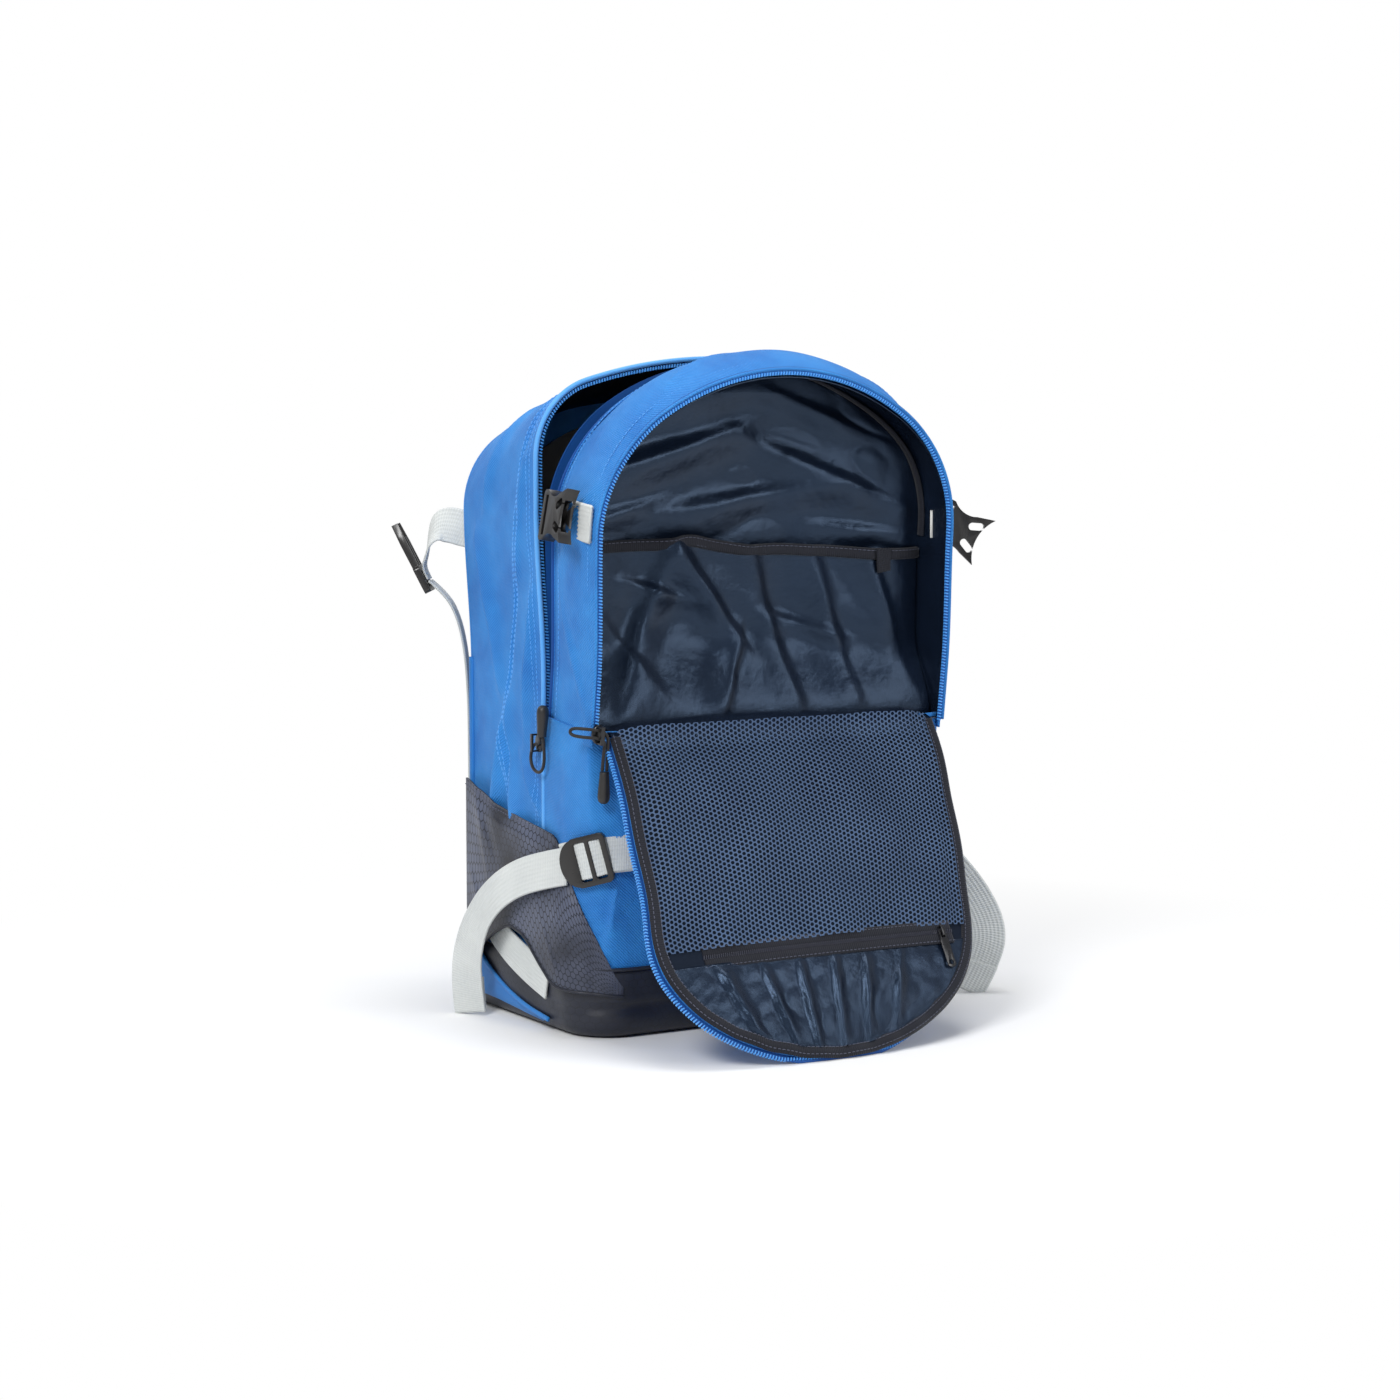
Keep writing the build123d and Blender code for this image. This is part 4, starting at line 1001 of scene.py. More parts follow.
points, out = upperSkin(0, 320, 90, mainRumple)
wear(sheetPiece("mainSkin", points, awayFromMiddle, mainSkin["wall"]),
     blueTwill, "pack_body", "main_fabric", "main_gusset")
inner, _ = upperSkin(3.2 * mm, 220, 30,
                     lambda u, v, z: 0.9 * mm * rumple(u, v * mainSkin["depth"], 26 * mm, 2.2) - 0.9 * mm)
# the inside of the main compartment takes the darker lining copy: painted shade
wear(sheetPiece("mainLining", inner, lambda c: -awayFromMiddle(c), 0.6 * mm), shadedLining, "pack_body", "lining")
lipRows = 420
lipLine, lipOut = upperSkin(0.6 * mm, lipRows, 3, lambda u, v, z: 0 * u + 0 * v)
lipOuts = uprightOf(lipOut[:, 0])
wear(sweepPiece("mainLip", lipLine[:, 0] + [0, -0.4 * mm, 0], lipOuts, roundProfile(1.7 * mm, 10)),
     threadBlue, "pack_body", "main_fabric")
wear(repeatAlong("mainZipCoil", lipLine[:, 0] - lipOuts * 3.4 * mm + [0, -0.2 * mm, 0], (0, -1, 0),
                 teeth["pitch"], teeth["size"], teeth["slant"]),
     blueCoil, "pack_body", "zip_coil")
for k, deep in enumerate((8 * mm, 11 * mm)):
    column = int(round(deep / mainDepth * (points.shape[1] - 1)))
    normals = uprightOf(out[:, 0])
    stitchRow("mainLipStitch%d" % k, points[:, column] + normals * 0.15 * mm, normals,
              threadBlue, "pack_body", "main_fabric")


def onMainSkin(rowShare, share):
    # a point of the side skin from its shares along and across
    rows, columns = points.shape[:2]
    r, c = rowShare * (rows - 1), share * (columns - 1)
    i = np.clip(np.floor(r).astype(int), 0, rows - 2)
    j = np.clip(np.floor(c).astype(int), 0, columns - 2)
    a, b = (r - i)[:, None], (c - j)[:, None]
    return ((points[i, j] * (1 - a) + points[i + 1, j] * a) * (1 - b)
            + (points[i, j + 1] * (1 - a) + points[i + 1, j + 1] * a) * b)


rowShares = np.linspace(0.01, 0.99, lipRows)
rowHeights = onMainSkin(rowShares, np.zeros(lipRows))[:, 2]
rowNormals = np.stack([np.interp(rowShares, np.linspace(0, 1, len(out)), out[:, 0, k]) for k in (0, 1)], 1)
rowNormals = uprightOf(rowNormals)
for k, shift in enumerate((-0.018, 0.022, 0.042)):
    line = onMainSkin(rowShares, seamShare(rowHeights) + shift) + rowNormals * 0.1 * mm
    stitchRow("sideSeamStitch%d" % k, line, rowNormals, threadBlue, "pack_body", "main_fabric",
              (2.6 * mm, 0.8 * mm, 0.6 * mm), 3.6 * mm)
print("main compartment ready")


# ---- lower front and tub ----

def footprintSkin(startY, low, high, rows, columns, grow):
    # (round the plan, up the wall) grid; grow gives how far each point stands off the plan outline
    path = footprintPath(rows, 0, startY)
    out = -planNormals(path)
    u = np.linspace(0, lengthOf(path), rows)[:, None]
    z = low + (high - low) * np.linspace(0, 1, columns)[None, :] + 0 * u
    away = grow(u, z)
    return np.stack([path[:, :1] + out[:, :1] * away, path[:, 1:] + out[:, 1:] * away, z], -1)


def awayFromAxis(centres):
    return np.stack([centres[:, 0], np.minimum(centres[:, 1], 0), 0 * centres[:, 2]], 1)


lower = dict(
    wall=1.6 * mm, start=pack["hingeY"] + 1 * mm, foldHigh=pod["floor"] + 4 * mm, leanLow=178 * mm,
    folds=[(98, 50, 93, 112, 4, 3), (78, 104, 112, 84, 5, 2.4), (84, 64, 104, 58, 4, 2.4),
           (60, 60, 85, 150, 6, 3), (85, 58, 118, 110, 5, 2.6), (100, 140, 150, 172, 7, 2.6),
           (20, 70, 50, 120, 7, 2.2), (130, 70, 190, 100, 8, 2.6), (220, 60, 290, 120, 9, 2.6),
           (300, 150, 360, 90, 8, 2.6), (350, 70, 390, 140, 6, 2.6)])


def lowerBulge(u, z):
    # wrinkled wall that draws in to the compartment above it, and to the tub below
    top = smoothStep(175 * mm, 206 * mm, z)
    foot = smoothStep(60 * mm, 46 * mm, z)
    slack = 1.8 * creases(u, z + 0 * u, lower["folds"]) + 0.9 * mm * rumple(u, z, 30 * mm, 1.1)
    along = np.minimum(u, u.max() - u)
    slack = np.where(slack > 0, slack * smoothStep(50 * mm, 78 * mm, along), slack)
    return slack * (1 - top) * (1 - foot) + 0.6 * mm - 1.5 * mm * top - 1.2 * mm * foot


def squareCorners(points):
    # the round front corners turn square towards the fold, as the compartment above is boxy
    r, half, front = pack["frontCorner"], pack["half"], pack["frontY"]
    cornerX = np.clip(np.abs(points[..., 0]) - (half - r), 0, r)
    cornerY = np.clip((front + r) - points[..., 1], 0, r)
    reach = np.maximum(np.hypot(cornerX, cornerY), 1e-6)
    square = np.maximum(np.maximum(cornerX, cornerY) / reach, 0.5)
    squareness = smoothStep(120 * mm, 205 * mm, points[..., 2])
    grow = np.where((cornerX > 0) & (cornerY > 0), 1 + (1 / square - 1) * squareness * 0.62, 1.0)
    x = np.where(cornerX > 0, np.sign(points[..., 0]) * ((half - r) + cornerX * grow), points[..., 0])
    y = np.where(cornerY > 0, front + r - cornerY * grow, points[..., 1])
    return np.stack([x, y, points[..., 2]], -1)


flat = squareCorners(footprintSkin(lower["start"], pack["tubTop"] - 3 * mm, lower["foldHigh"], 260, 70, lowerBulge))
share = smoothStep(lower["leanLow"], pod["floor"], flat[..., 2])[..., None]
flat = flat * (1 - share) + lean(flat) * share
skin = sheetPiece("lowerFrontSkin", flat, awayFromAxis, lower["wall"])
wear(skin, blueTwill, None, "main_fabric", "lower_front_panel")
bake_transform(skin)

tub = dict(wall=2 * mm, round=28 * mm, seam=46.5 * mm,
           profile=[(0, 46), (0.5, 38), (0.8, 28), (0.4, 16), (0, 9), (-2.6, 2.7), (-9, 0), (-40, 0)],
           folds=[(130, 20, 280, 24, 4, 2.4), (280, 24, 400, 18, 4, 2.4)])
tubProfile = smoothPath(np.array(tub["profile"]) * mm, 34)
path = footprintPath(300, 0, pack["backY"] - 2 * mm)
out = -planNormals(path)
u = np.linspace(0, lengthOf(path), 300)[:, None]
height = tubProfile[None, :, 1]
away = tubProfile[None, :, 0] + 0.9 * mm * rumple(u, height, 26 * mm, 0.4) * smoothStep(8 * mm, 20 * mm, height)
away = away - creases(u, height + 0 * u, tub["folds"])
x = path[:, :1] + out[:, :1] * away
y = np.minimum(path[:, 1:] + out[:, 1:] * away, pack["backY"] - 1 * mm)
wear(sheetPiece("tubSkin", np.stack([x, y, height + 0 * x], -1), awayFromAxis, tub["wall"]),
     coated, "pack_body", "coated_fabric", "base_panel")

# its underside: a rectangle whose front corners are drawn in to an arc
insetX, lowY, highY = pack["half"] - 8 * mm, pack["frontY"] + 8 * mm, pack["backY"] - 2 * mm
x, y = np.broadcast_arrays(np.linspace(-1, 1, 40)[:, None] * insetX,
                           lowY + (highY - lowY) * np.linspace(0, 1, 30)[None, :])
cornerX = np.clip(np.abs(x) - (insetX - tub["round"]), 0, 1)
cornerY = np.clip(lowY + tub["round"] - y, 0, 1)
pullIn = np.minimum(1, tub["round"] / np.maximum(np.hypot(cornerX, cornerY), 1e-6)) - 1
bottom = np.stack([x + np.sign(x) * cornerX * pullIn, y - cornerY * pullIn, 0.25 * mm + 0 * x], -1)
wear(sheetPiece("tubBottom", bottom, (0, 0, -1), 2 * mm), coated, "pack_body", "coated_fabric")
line = footprintSkin(lower["start"], tub["seam"], tub["seam"] + 1 * mm, 300, 2, lambda u, z: 0.9 * mm + 0 * u + 0 * z)
wear(sweepPiece("tubPiping", line[:, 0], (0, 0, 1), roundProfile(1.3 * mm, 8)), coated, "pack_body", "coated_fabric")
print("lower front ready")


# ---- wings on the sides ----

wing = dict(
    wall=1.3 * mm, arch=5.6 * mm, most=7.6 * mm,
    outline=[(72, 28, 158), (50, 40, 152), (25, 56, 145), (0, 66, 141), (-22, 62, 138), (-42, 47, 135),
             (-58, 37, 132)],
    corner=[(0.0, 35, 131), (0.12, 33, 112), (0.3, 32, 94), (0.52, 31, 70), (0.68, 30, 52), (0.80, 29, 38),
            (0.86, 29, 32)],
    folds=[(20, 150, 75, 60, 8, 2.6), (50, 140, 110, 75, 7, 2.2), (90, 110, 135, 50, 6, 2.4),
           (15, 90, 60, 40, 7, 2)])


def wingPiece(side, name):
    # follows the plan from the back seam to the front corner; a pillow of air stands under its middle
    back = backSeam - 2 * mm
    path = footprintPath(900, 0, back)[:450]
    run = runAlong(path)
    sideEnd = run[np.argmin(np.abs(path[:, 1] - (pack["frontY"] + pack["frontCorner"])))]
    arc = math.pi / 2 * pack["frontCorner"]
    stations = [back - y * mm for y, _, _ in wing["outline"]] + [sideEnd + f * arc for f, _, _ in wing["corner"]]
    lows = [low * mm for _, low, _ in wing["outline"] + wing["corner"]]
    highs = [high * mm for _, _, high in wing["outline"] + wing["corner"]]
    u = np.linspace(0, stations[-1], 130)
    x, y = np.interp(u, run, path[:, 0]), np.interp(u, run, path[:, 1])
    out = -planNormals(np.stack([x, y], 1))
    # both edges are evened out over nine stations
    low, high = (np.convolve(np.pad(np.interp(u, stations, edge), 4, "edge"), np.ones(9) / 9, "valid")[:, None]
                 for edge in (lows, highs))
    t = np.linspace(0, 1, 60)[None, :]
    z = low + (high - low) * t
    share = (u / stations[-1])[:, None]
    pillow = wing["arch"] * np.sin(math.pi * np.clip(share * 1.12, 0, 1)) ** 0.6 + 0 * t
    openFoot = 2.5 * mm * (1 - t) ** 2 * np.sin(math.pi * share)
    topSeam = 1 - smoothStep(0.86, 1.0, t) * 0.55
    folds = creases(u[:, None] + 0 * z, z, wing["folds"])
    away = 1.9 * mm + pillow * topSeam + openFoot + folds * np.sin(math.pi * share) ** 0.5
    # the strap presses it in beside the lock
    pressed = 3.2 * mm * np.exp(-((z - 111 * mm) / (16 * mm)) ** 2) * smoothStep(0.5, 0.68, share)
    away = np.minimum(away, wing["most"]) - pressed
    points = np.stack([x[:, None] + out[:, :1] * away, y[:, None] + out[:, 1:] * away, z], -1)
    points[..., 0] *= -side
    wear(sheetPiece("wing" + name, points, (side, 0, 0), wing["wall"]),
         printed, "pack_body", "coated_fabric", "side_wing_" + name.lower())
    normals = np.stack([out[:, 0] * -side, out[:, 1], 0 * out[:, 0]], 1)
    for label, line, ways in (("Top", points[:78, 57], normals[:78]),
                              ("Front", points[126, :14], np.tile(normals[126], (14, 1)))):
        stitchRow("wing%sStitch%s" % (name, label), line + ways * 0.15 * mm, ways,
                  threadDark, "pack_body", "coated_fabric")
    wear(sweepPiece("wing%sHem" % name, points[:, 0], normals, roundProfile(1.1 * mm, 8)),
         coated, "pack_body", "coated_fabric")


for side, name in sides:
    wingPiece(side, name.title())

# the back panel's light edge shows behind the wings, down to the floor
backFoot = 42 * mm
a = np.linspace(0, math.pi / 2, 20)
arc = np.stack([pack["backHalf"] - backFoot + backFoot * np.cos(a), 1 * mm + backFoot - backFoot * np.sin(a)], 1)
halfEdge = np.vstack([[[pack["backHalf"], 240 * mm]], arc, [[0, 1 * mm]]])
fullEdge = resample(np.vstack([halfEdge, (halfEdge * [-1, 1])[::-1][1:]]), 260)
line = np.stack([fullEdge[:, 0], np.full(260, pack["backY"] - 2.5 * mm), fullEdge[:, 1] + 1.6 * mm], 1)
wear(sweepPiece("backPiping", line, (0, 1, 0), roundProfile(2.4 * mm, 8)), azureCloth, "pack_body", "rear_fabric")

# the azure back cloth wraps round under the charcoal on each side
route = smoothPath(np.array([(76, 58), (70, 50), (60, 42), (44, 32), (22, 21), (-10, 12), (-45, 8)]) * mm, 90)
lift = 1.6 * mm + 1.2 * mm * smoothStep(0.35, 1, np.linspace(1, 0, 90))
hemLine = np.stack([np.minimum(route[:, 0] + 26 * mm, pack["backY"] - 1.5 * mm),
                    np.maximum(route[:, 1] - 34 * mm, 1.5 * mm)], 1)
t = np.linspace(0, 1, 14)[None, :]
flatY, flatZ = (route[:, k:k + 1] * (1 - t) + hemLine[:, k:k + 1] * t for k in (0, 1))
tuck = 0.9 * mm - 7 * mm * smoothStep(14 * mm, 0, flatZ) * t
for side, name in sides:
    edge = np.stack([np.full(90, side * pack["half"]) + side * lift, route[:, 0], route[:, 1]], 1)
    wear(sweepPiece("footPiping" + name.title(), edge, (side, 0, 0), roundProfile(1.7 * mm, 10, 0.8)),
         azureCloth, "pack_body", "rear_fabric")
    wrapped = np.stack([side * (pack["half"] + tuck), flatY, flatZ], -1)
    wear(sheetPiece("footCloth" + name.title(), wrapped, (side, 0, 0), 0.8 * mm),
         azureCloth, "pack_body", "rear_fabric")
print("wings ready")


# ---- back panel, pads and shoulder straps ----

x, z, s, t = archSheet(pack["backHalf"], pack["backTop"], 2 * mm, 150, 120)
leftHalf = archHalf(z[:, 0], pack["backHalf"], pack["backTop"], 2 * mm, mainSkin["backShoulder"])
x = np.where(s < 0, leftHalf[:, None] * s, x)
below = np.clip(backFoot + 2 * mm - z, 0, backFoot)
x = x * (1 - (backFoot - np.sqrt(backFoot ** 2 - below ** 2)) / pack["backHalf"])
channel = np.exp(-((np.abs(x) / (9 * mm)) ** 4)) * 1.6 * mm
y = pack["backY"] - 0.6 * mm - channel + 0.5 * mm * rumple(x, z, 30 * mm, 3.3) * np.clip((1 - np.abs(s)) * 9, 0, 1)
wear(sheetPiece("backSkin", settle(np.stack([x, y, z], -1)), (0, 1, 0), 2 * mm),
     azureCloth, "pack_body", "rear_fabric", "back_panel")

pad = dict(thick=8.6 * mm, pitch=50 * mm, square=0.28)
for side, name in sides:
    low, high = lowOf("back_pad_" + name), highOf("back_pad_" + name)
    a = np.linspace(0, 2 * math.pi, 140, endpoint=False)[:, None]
    r = np.concatenate([np.linspace(0.02, 0.9, 22), np.linspace(0.93, 1, 6)])[None, :]
    cx, cz = (low[0] + high[0]) / 2, (low[2] + high[2]) / 2
    hx, hz = (high[0] - low[0]) / 2, (high[2] - low[2]) / 2
    ux, uz = rounded(np.cos(a), pad["square"]) * r, rounded(np.sin(a), pad["square"]) * r
    x, z = cx + hx * ux, cz + hz * uz
    crown = np.sqrt(np.clip(1 - np.maximum(np.abs(ux), np.abs(uz)) ** 9, 0, 1))
    chevron = (z - cz) + 0.25 * np.abs(x - cx)
    channels = sum(np.exp(-((chevron - k * pad["pitch"]) / (2.2 * mm)) ** 2) for k in (-2, -1, 0, 1, 2))
    y = low[1] + 0.4 * mm + crown * (pad["thick"] - 3.0 * mm * channels) * 0.95
    front = np.stack([x, y, z], -1)
    rear = front.copy()[:, ::-1]
    rear[..., 1] = low[1] + 0.1 * mm
    both = np.concatenate([front, rear], 1)
    faces = gridFaces(both.shape[0], both.shape[1], True, False).tolist()
    n, m = both.shape[:2]
    faces += [[i * m for i in range(n)], [i * m + m - 1 for i in range(n)][::-1]]
    piece = outwards(meshObject("backPad" + name.title(), both, faces, both[..., [0, 2]]))
    wear(piece, backMesh, "pack_body", "back_mesh", "back_pad_" + name)

shoulder = dict(top=384 * mm, low=196 * mm, bow=36 * mm, thick=9 * mm, half=28 * mm, x=58 * mm)
shoulder["start"] = pack["backY"] + 0.3 * mm
# (share of the bow, height) down the strap's middle after its two first points
bowed = [(0.86, shoulder["top"] - 38 * mm), (1.02, shoulder["top"] - 80 * mm), (1.0, shoulder["low"] + 60 * mm),
         (0.92, shoulder["low"] + 26 * mm), (0.84, shoulder["low"] + 1 * mm)]
spine = smoothPath(np.array([[shoulder["start"] + 2 * mm, shoulder["top"] + 12 * mm],
                             [shoulder["start"] + 14 * mm, shoulder["top"] - 4 * mm]]
                            + [[shoulder["start"] + shoulder["bow"] * out, z] for out, z in bowed]), 110)
tangent = unit(np.gradient(spine, axis=0))
outward = np.stack([np.zeros(110), -tangent[:, 1], tangent[:, 0]], 1)
share = np.linspace(0, 1, 110)
half = shoulder["half"] * (1 - 0.30 * smoothStep(0.45, 1, share) - 0.06 * smoothStep(0.2, 0, share))
# cross-section: a squared oval, with a sewn line inside each edge and quilting across its outer face
a = np.linspace(0, 2 * math.pi, 44, endpoint=False)
px, pn = rounded(np.cos(a), 0.35), rounded(np.sin(a), 0.75)
edgeSeam = 0.16 * np.exp(-((np.abs(px)[None] - 0.86) / 0.05) ** 2)
quilting = 0.10 * np.exp(-((np.sin(share * 34))[:, None] / 0.12) ** 2) * (pn[None] > 0)
ends = np.clip(np.minimum(share, 1 - share) * 30 + 0.25, 0, 1)
high = shoulder["thick"] * 0.48 * (1 - edgeSeam - quilting) * ends[:, None]
profile = np.stack([px[None] * half[:, None], pn[None] * high], -1)
for side, name in sides:
    swing = side * (shoulder["x"] + 3 * mm * np.sin(share * math.pi * 1.1) - 2 * mm * share)
    centre = np.stack([swing, spine[:, 0], spine[:, 1]], 1) + outward * shoulder["thick"] * 0.5
    piece = sweepPiece("shoulderStrap" + name.title(), centre, outward, profile)
    wear(piece, backMesh, "pack_body", "back_mesh", "shoulder_strap_" + name)
    for edge in (-1, 1):
        line = centre + np.stack([edge * half, np.zeros(110), np.zeros(110)], 1) * 0.99
        wear(sweepPiece("shoulderBinding%s%d" % (name.title(), edge + 1), line[2:-2], outward[2:-2],
                        roundProfile(2.4 * mm, 10, 1.3)),
             bindingTape, "pack_body", "binding")

loopLow, loopHigh = lowOf("haul_loop"), highOf("haul_loop")
half = (loopHigh[0] - loopLow[0]) / 2 - 1.3 * mm
middleY = (loopLow[1] + loopHigh[1]) / 2
foot = loopLow[2] + 1 * mm
handle = smoothPath(np.array([[-half, 0, foot], [-half, 2 * mm, foot + 8 * mm], [-half * 0.8, 9 * mm, foot + 15 * mm],
                              [-half * 0.4, 17 * mm, foot + 17 * mm], [half * 0.3, 18 * mm, foot + 16.5 * mm],
                              [half * 0.8, 10 * mm, foot + 15 * mm], [half, 2 * mm, foot + 8 * mm],
                              [half, 0, foot]]) + [0, middleY, 0], 90)
wear(strapPiece("haulLoop", handle, [(0, 1, 0), (0, 1, 0)], 18 * mm, 2.2 * mm, 7),
     webbingTape, "pack_body", "webbing", "haul_loop")
print("back ready")


# ---- sewn webbing ----

lowerStrap = dict(fall=math.radians(15), z=121 * mm)


def slopeHeight(y):
    # the lower strap falls towards the back from the middle of the front corner
    middle = pack["frontY"] + pack["frontCorner"] * (1 - math.sqrt(0.5))
    return lowerStrap["z"] - math.tan(lowerStrap["fall"]) * (y - middle)


# shoulder webbing: from the back panel's foot up to the lock under the shoulder strap, right side
y = shoulder["start"] + shoulder["bow"] * 0.84 + shoulder["thick"] / 2
backY, low, top = pack["backY"], shoulder["low"], 329 * mm
shoulderRoute = np.array([(118 * mm, backY + 2.1 * mm, 40 * mm), (113 * mm, backY + 6 * mm, 62 * mm),
                          (98 * mm, y - 14 * mm, 104 * mm), (67 * mm, y - 3.5 * mm, 138 * mm),
                          (58 * mm, y - 3.2 * mm, low - 36 * mm), (58 * mm, y - 3.2 * mm, low - 8 * mm)])
shoulderAcross = np.array([(1, 0, 0.7), (1, 0, 0.6), (1, 0, 0.4), (1, 0, 0.2), (1, 0, 0), (1, 0, 0)])
# upper strap: out of the back seam and round to the bar of the male buckle, left side
foot, tip = np.array([-155.0, 108.3, 286.0]) * mm, np.array([-175.4, 120.6, 332.9]) * mm
barWay = (0.515, 0.857, 0)
plugAlong = unit(tip - foot)
plugAcross = unit(np.array(barWay) - plugAlong * np.dot(barWay, plugAlong))
plugOut = np.cross(plugAlong, plugAcross)
upperRoute = np.array([(-133.0 * mm, backY - 1 * mm, top), (-139.5 * mm, backY + 4 * mm, top + 1 * mm),
                       (-147.0 * mm, backY + 10 * mm, top + 4 * mm), (-153.5 * mm, backY + 18 * mm, top + 4 * mm),
                       (-157.0 * mm, backY + 25 * mm, top - 5 * mm), (-157.2 * mm, backY + 28.5 * mm, top - 17 * mm),
                       foot + plugAlong * 18 * mm - plugOut * 3.9 * mm, foot + plugAlong * 8 * mm - plugOut * 3.5 * mm])
upperAcross = np.array([(0, 0, 1), (0, 0.05, 1), (0.05, 0.25, 0.95), (0.2, 0.6, 0.75), (0.4, 0.85, 0.4),
                        (0.5, 0.86, 0.12), plugAcross, plugAcross])

for side, name in sides:
    flip = np.array([side, 1, 1])
    wear(strapPiece("shoulderWebbing" + name.title(), smoothPath(shoulderRoute * flip, 80), shoulderAcross * flip),
         webbingTape, "pack_body", "webbing", "shoulder_webbing_" + name)
    flip = np.array([-side, 1, 1])
    strap = strapPiece("upperStrap" + name.title(), smoothPath(upperRoute * flip, 80), upperAcross * flip)
    wear(strap, webbingTape, "pack_body", "webbing", "upper_strap_" + name)

    # load strap: from the back seam under the wing to the lock, and the tab that holds the lock
    plan = footprintPath(600, 1.0 * mm, 70 * mm)[:300]
    corner = np.array([-pack["half"] + pack["frontCorner"], pack["frontY"] + pack["frontCorner"]])
    angle = np.degrees(np.arctan2(-(plan[:, 0] - corner[0]), -(plan[:, 1] - corner[1])))
    inArc = (plan[:, 0] < corner[0]) & (plan[:, 1] < corner[1])
    rear = plan[(~inArc & (plan[:, 1] >= corner[1])) | (inArc & (angle > 50))]
    pastArc = (plan[:, 0] >= corner[0]) & (plan[:, 0] < corner[0] + 5 * mm) & (plan[:, 1] < corner[1])
    ahead = plan[(inArc & (angle < 30)) | pastArc]
    for label, node, part, thick in (("loadStrap", "load_strap_", rear, 1.3 * mm),
                                     ("lockTab", "lower_tab_", ahead, 2.8 * mm)):
        part = resample(part, 60)
        lift = -planNormals(part) * (thick / 2 - 0.4 * mm)
        line = np.stack([part[:, 0] + lift[:, 0], part[:, 1] + lift[:, 1], slopeHeight(part[:, 1])], 1)
        across = np.tile([0, 0.25, 0.97], (60, 1))
        strap = strapPiece(label + name.title(), line * flip, across * flip, thick=thick)
        wear(strap, webbingTape, "pack_body", "webbing", node + name)
    # the strap that shows through the open foot of the wing
    part = smoothPath(np.array([(60, 78), (20, 52), (-15, 40), (-45, 33)]) * mm, 50)
    line = np.stack([np.full(50, -pack["half"] - 2.0 * mm), part[:, 0], part[:, 1]], 1)
    wear(strapPiece("wingStrap" + name.title(), line * flip, [(0, 0.5, 0.86), (0, 0.3, 0.95)]),
         webbingTape, "pack_body", "webbing")

    # tab across the side of the front compartment, with its loop round the socket's bar
    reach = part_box("pod_tab_" + name)
    loopEnd = reach[1][0] if side > 0 else -reach[0][0]
    part = smoothPath(np.array([(pod["half"] - 0.6 * mm, pack["frontY"] + 5 * mm), (pod["half"] + 1.5 * mm, -78 * mm),
                                (pod["half"] + 1.6 * mm, -56 * mm), (pod["half"] + 2.4 * mm, -48 * mm),
                                (loopEnd - 2 * mm, -47.4 * mm), (loopEnd - 0.5 * mm, -47.4 * mm)]), 70)
    line = lean(np.stack([part[:, 0], part[:, 1], np.full(70, slump["high"])], 1))
    # the slump fades out towards the loop, which stays at the buckle's bar
    fade = np.linspace(1, 0, 70)
    ease = np.sqrt(fade) - (0 if side > 0 else 2 * fade)
    slid = side * (line[:, 0] + (settle(line) - line)[:, 0] * ease)
    wear(strapPiece("podTab" + name.title(), np.stack([slid, line[:, 1], line[:, 2]], 1), [(0, 0.12, 0.99)] * 2,
                    thick=2.2 * mm),
         webbingTape, "front_pod", "webbing", "pod_tab_" + name)
print("webbing ready")


# ---- folded front panel ----

panel = dict(
    band=7.5 * mm,
    folds=[(-80, 170, -60, 215, 6, 4.5), (-50, 168, -35, 222, 5, 4), (-22, 168, -20, 226, 5, 4.5),
           (5, 168, 0, 224, 5, 4), (30, 168, 20, 220, 5, 4.2), (58, 168, 45, 208, 5, 3.6)])


def panelGrid(inset, top, rows, columns, low):
    # (down the panel, from side to side); its outline is the same arch as the opening
    t = np.sin(np.linspace(0, math.pi / 2, rows) * 0.999)[:, None]
    v = low + (top - low) * t
    half = archHalf(v[:, 0], flap["half"] - inset, flap["length"] - inset, 0)
    s = np.linspace(-1, 1, columns)[None, :]
    return half[:, None] * s, v + 0 * s, s + 0 * v


def panelPoints(x, v, n):
    return onFlap(flapShape(x, v), v, n + flapSag(x, v))


x, v, s = panelGrid(0.6 * mm, flap["length"] - 0.6 * mm, 110, 110, 0)
outer = sheetPiece("flapOuter", panelPoints(x, v, -1.9 * mm + 0 * x), -flapOut, 1.2 * mm)
wear(outer, blueTwill, "front_flap", "main_fabric", "flap_panel")
x, v, s = panelGrid(4 * mm, flap["length"] - 4 * mm, 110, 110, 1 * mm)
lie = 0.9 * mm + 0.35 * mm * rumple(x, v, 24 * mm, 1.9)
# the lining under the netting takes the darker lining copy: painted shade beneath the mesh pocket
inner = sheetPiece("flapLining", panelPoints(x, v, lie), flapOut, 0.5 * mm)
wear(inner, shadedLining, "front_flap", "lining")
zipEdge = flap["zipAt"]
x, v, s = panelGrid(panel["band"] - 2 * mm, zipEdge - 5 * mm, 90, 120, -4 * mm)
fromEdge = (1 - np.abs(s)) * 8
belly = 2.6 * mm * np.sin(math.pi * np.clip(v / zipEdge, 0, 1))
slack = (2.2 * mm + belly + 2.2 * mm * rumple(x, 0.45 * v, 26 * mm, 4.4)) * np.clip(fromEdge, 0.25, 1)
overSill = 5.5 * mm * np.clip(1 - (v + 4 * mm) / (16 * mm), 0, 1) ** 2 * np.clip(fromEdge, 0, 1)
slack = np.maximum(slack, 2.2 * mm) + overSill
net = sheetPiece("meshPocket", panelPoints(x, v, slack), flapOut, 0.0)
wear(net, netting, "front_flap", "mesh", "mesh_pocket")
x, v, s = panelGrid(panel["band"] - 2 * mm, flap["length"] - panel["band"] + 1 * mm, 70, 150, zipEdge + 5 * mm)
pleats = creases(x, v, panel["folds"]) + 1.1 * mm * rumple(x, v, 13 * mm, 2.7)
ease = np.clip((1 - np.abs(s)) * 8, 0, 1) * np.clip((v - zipEdge - 4 * mm) / (9 * mm), 0.15, 1)
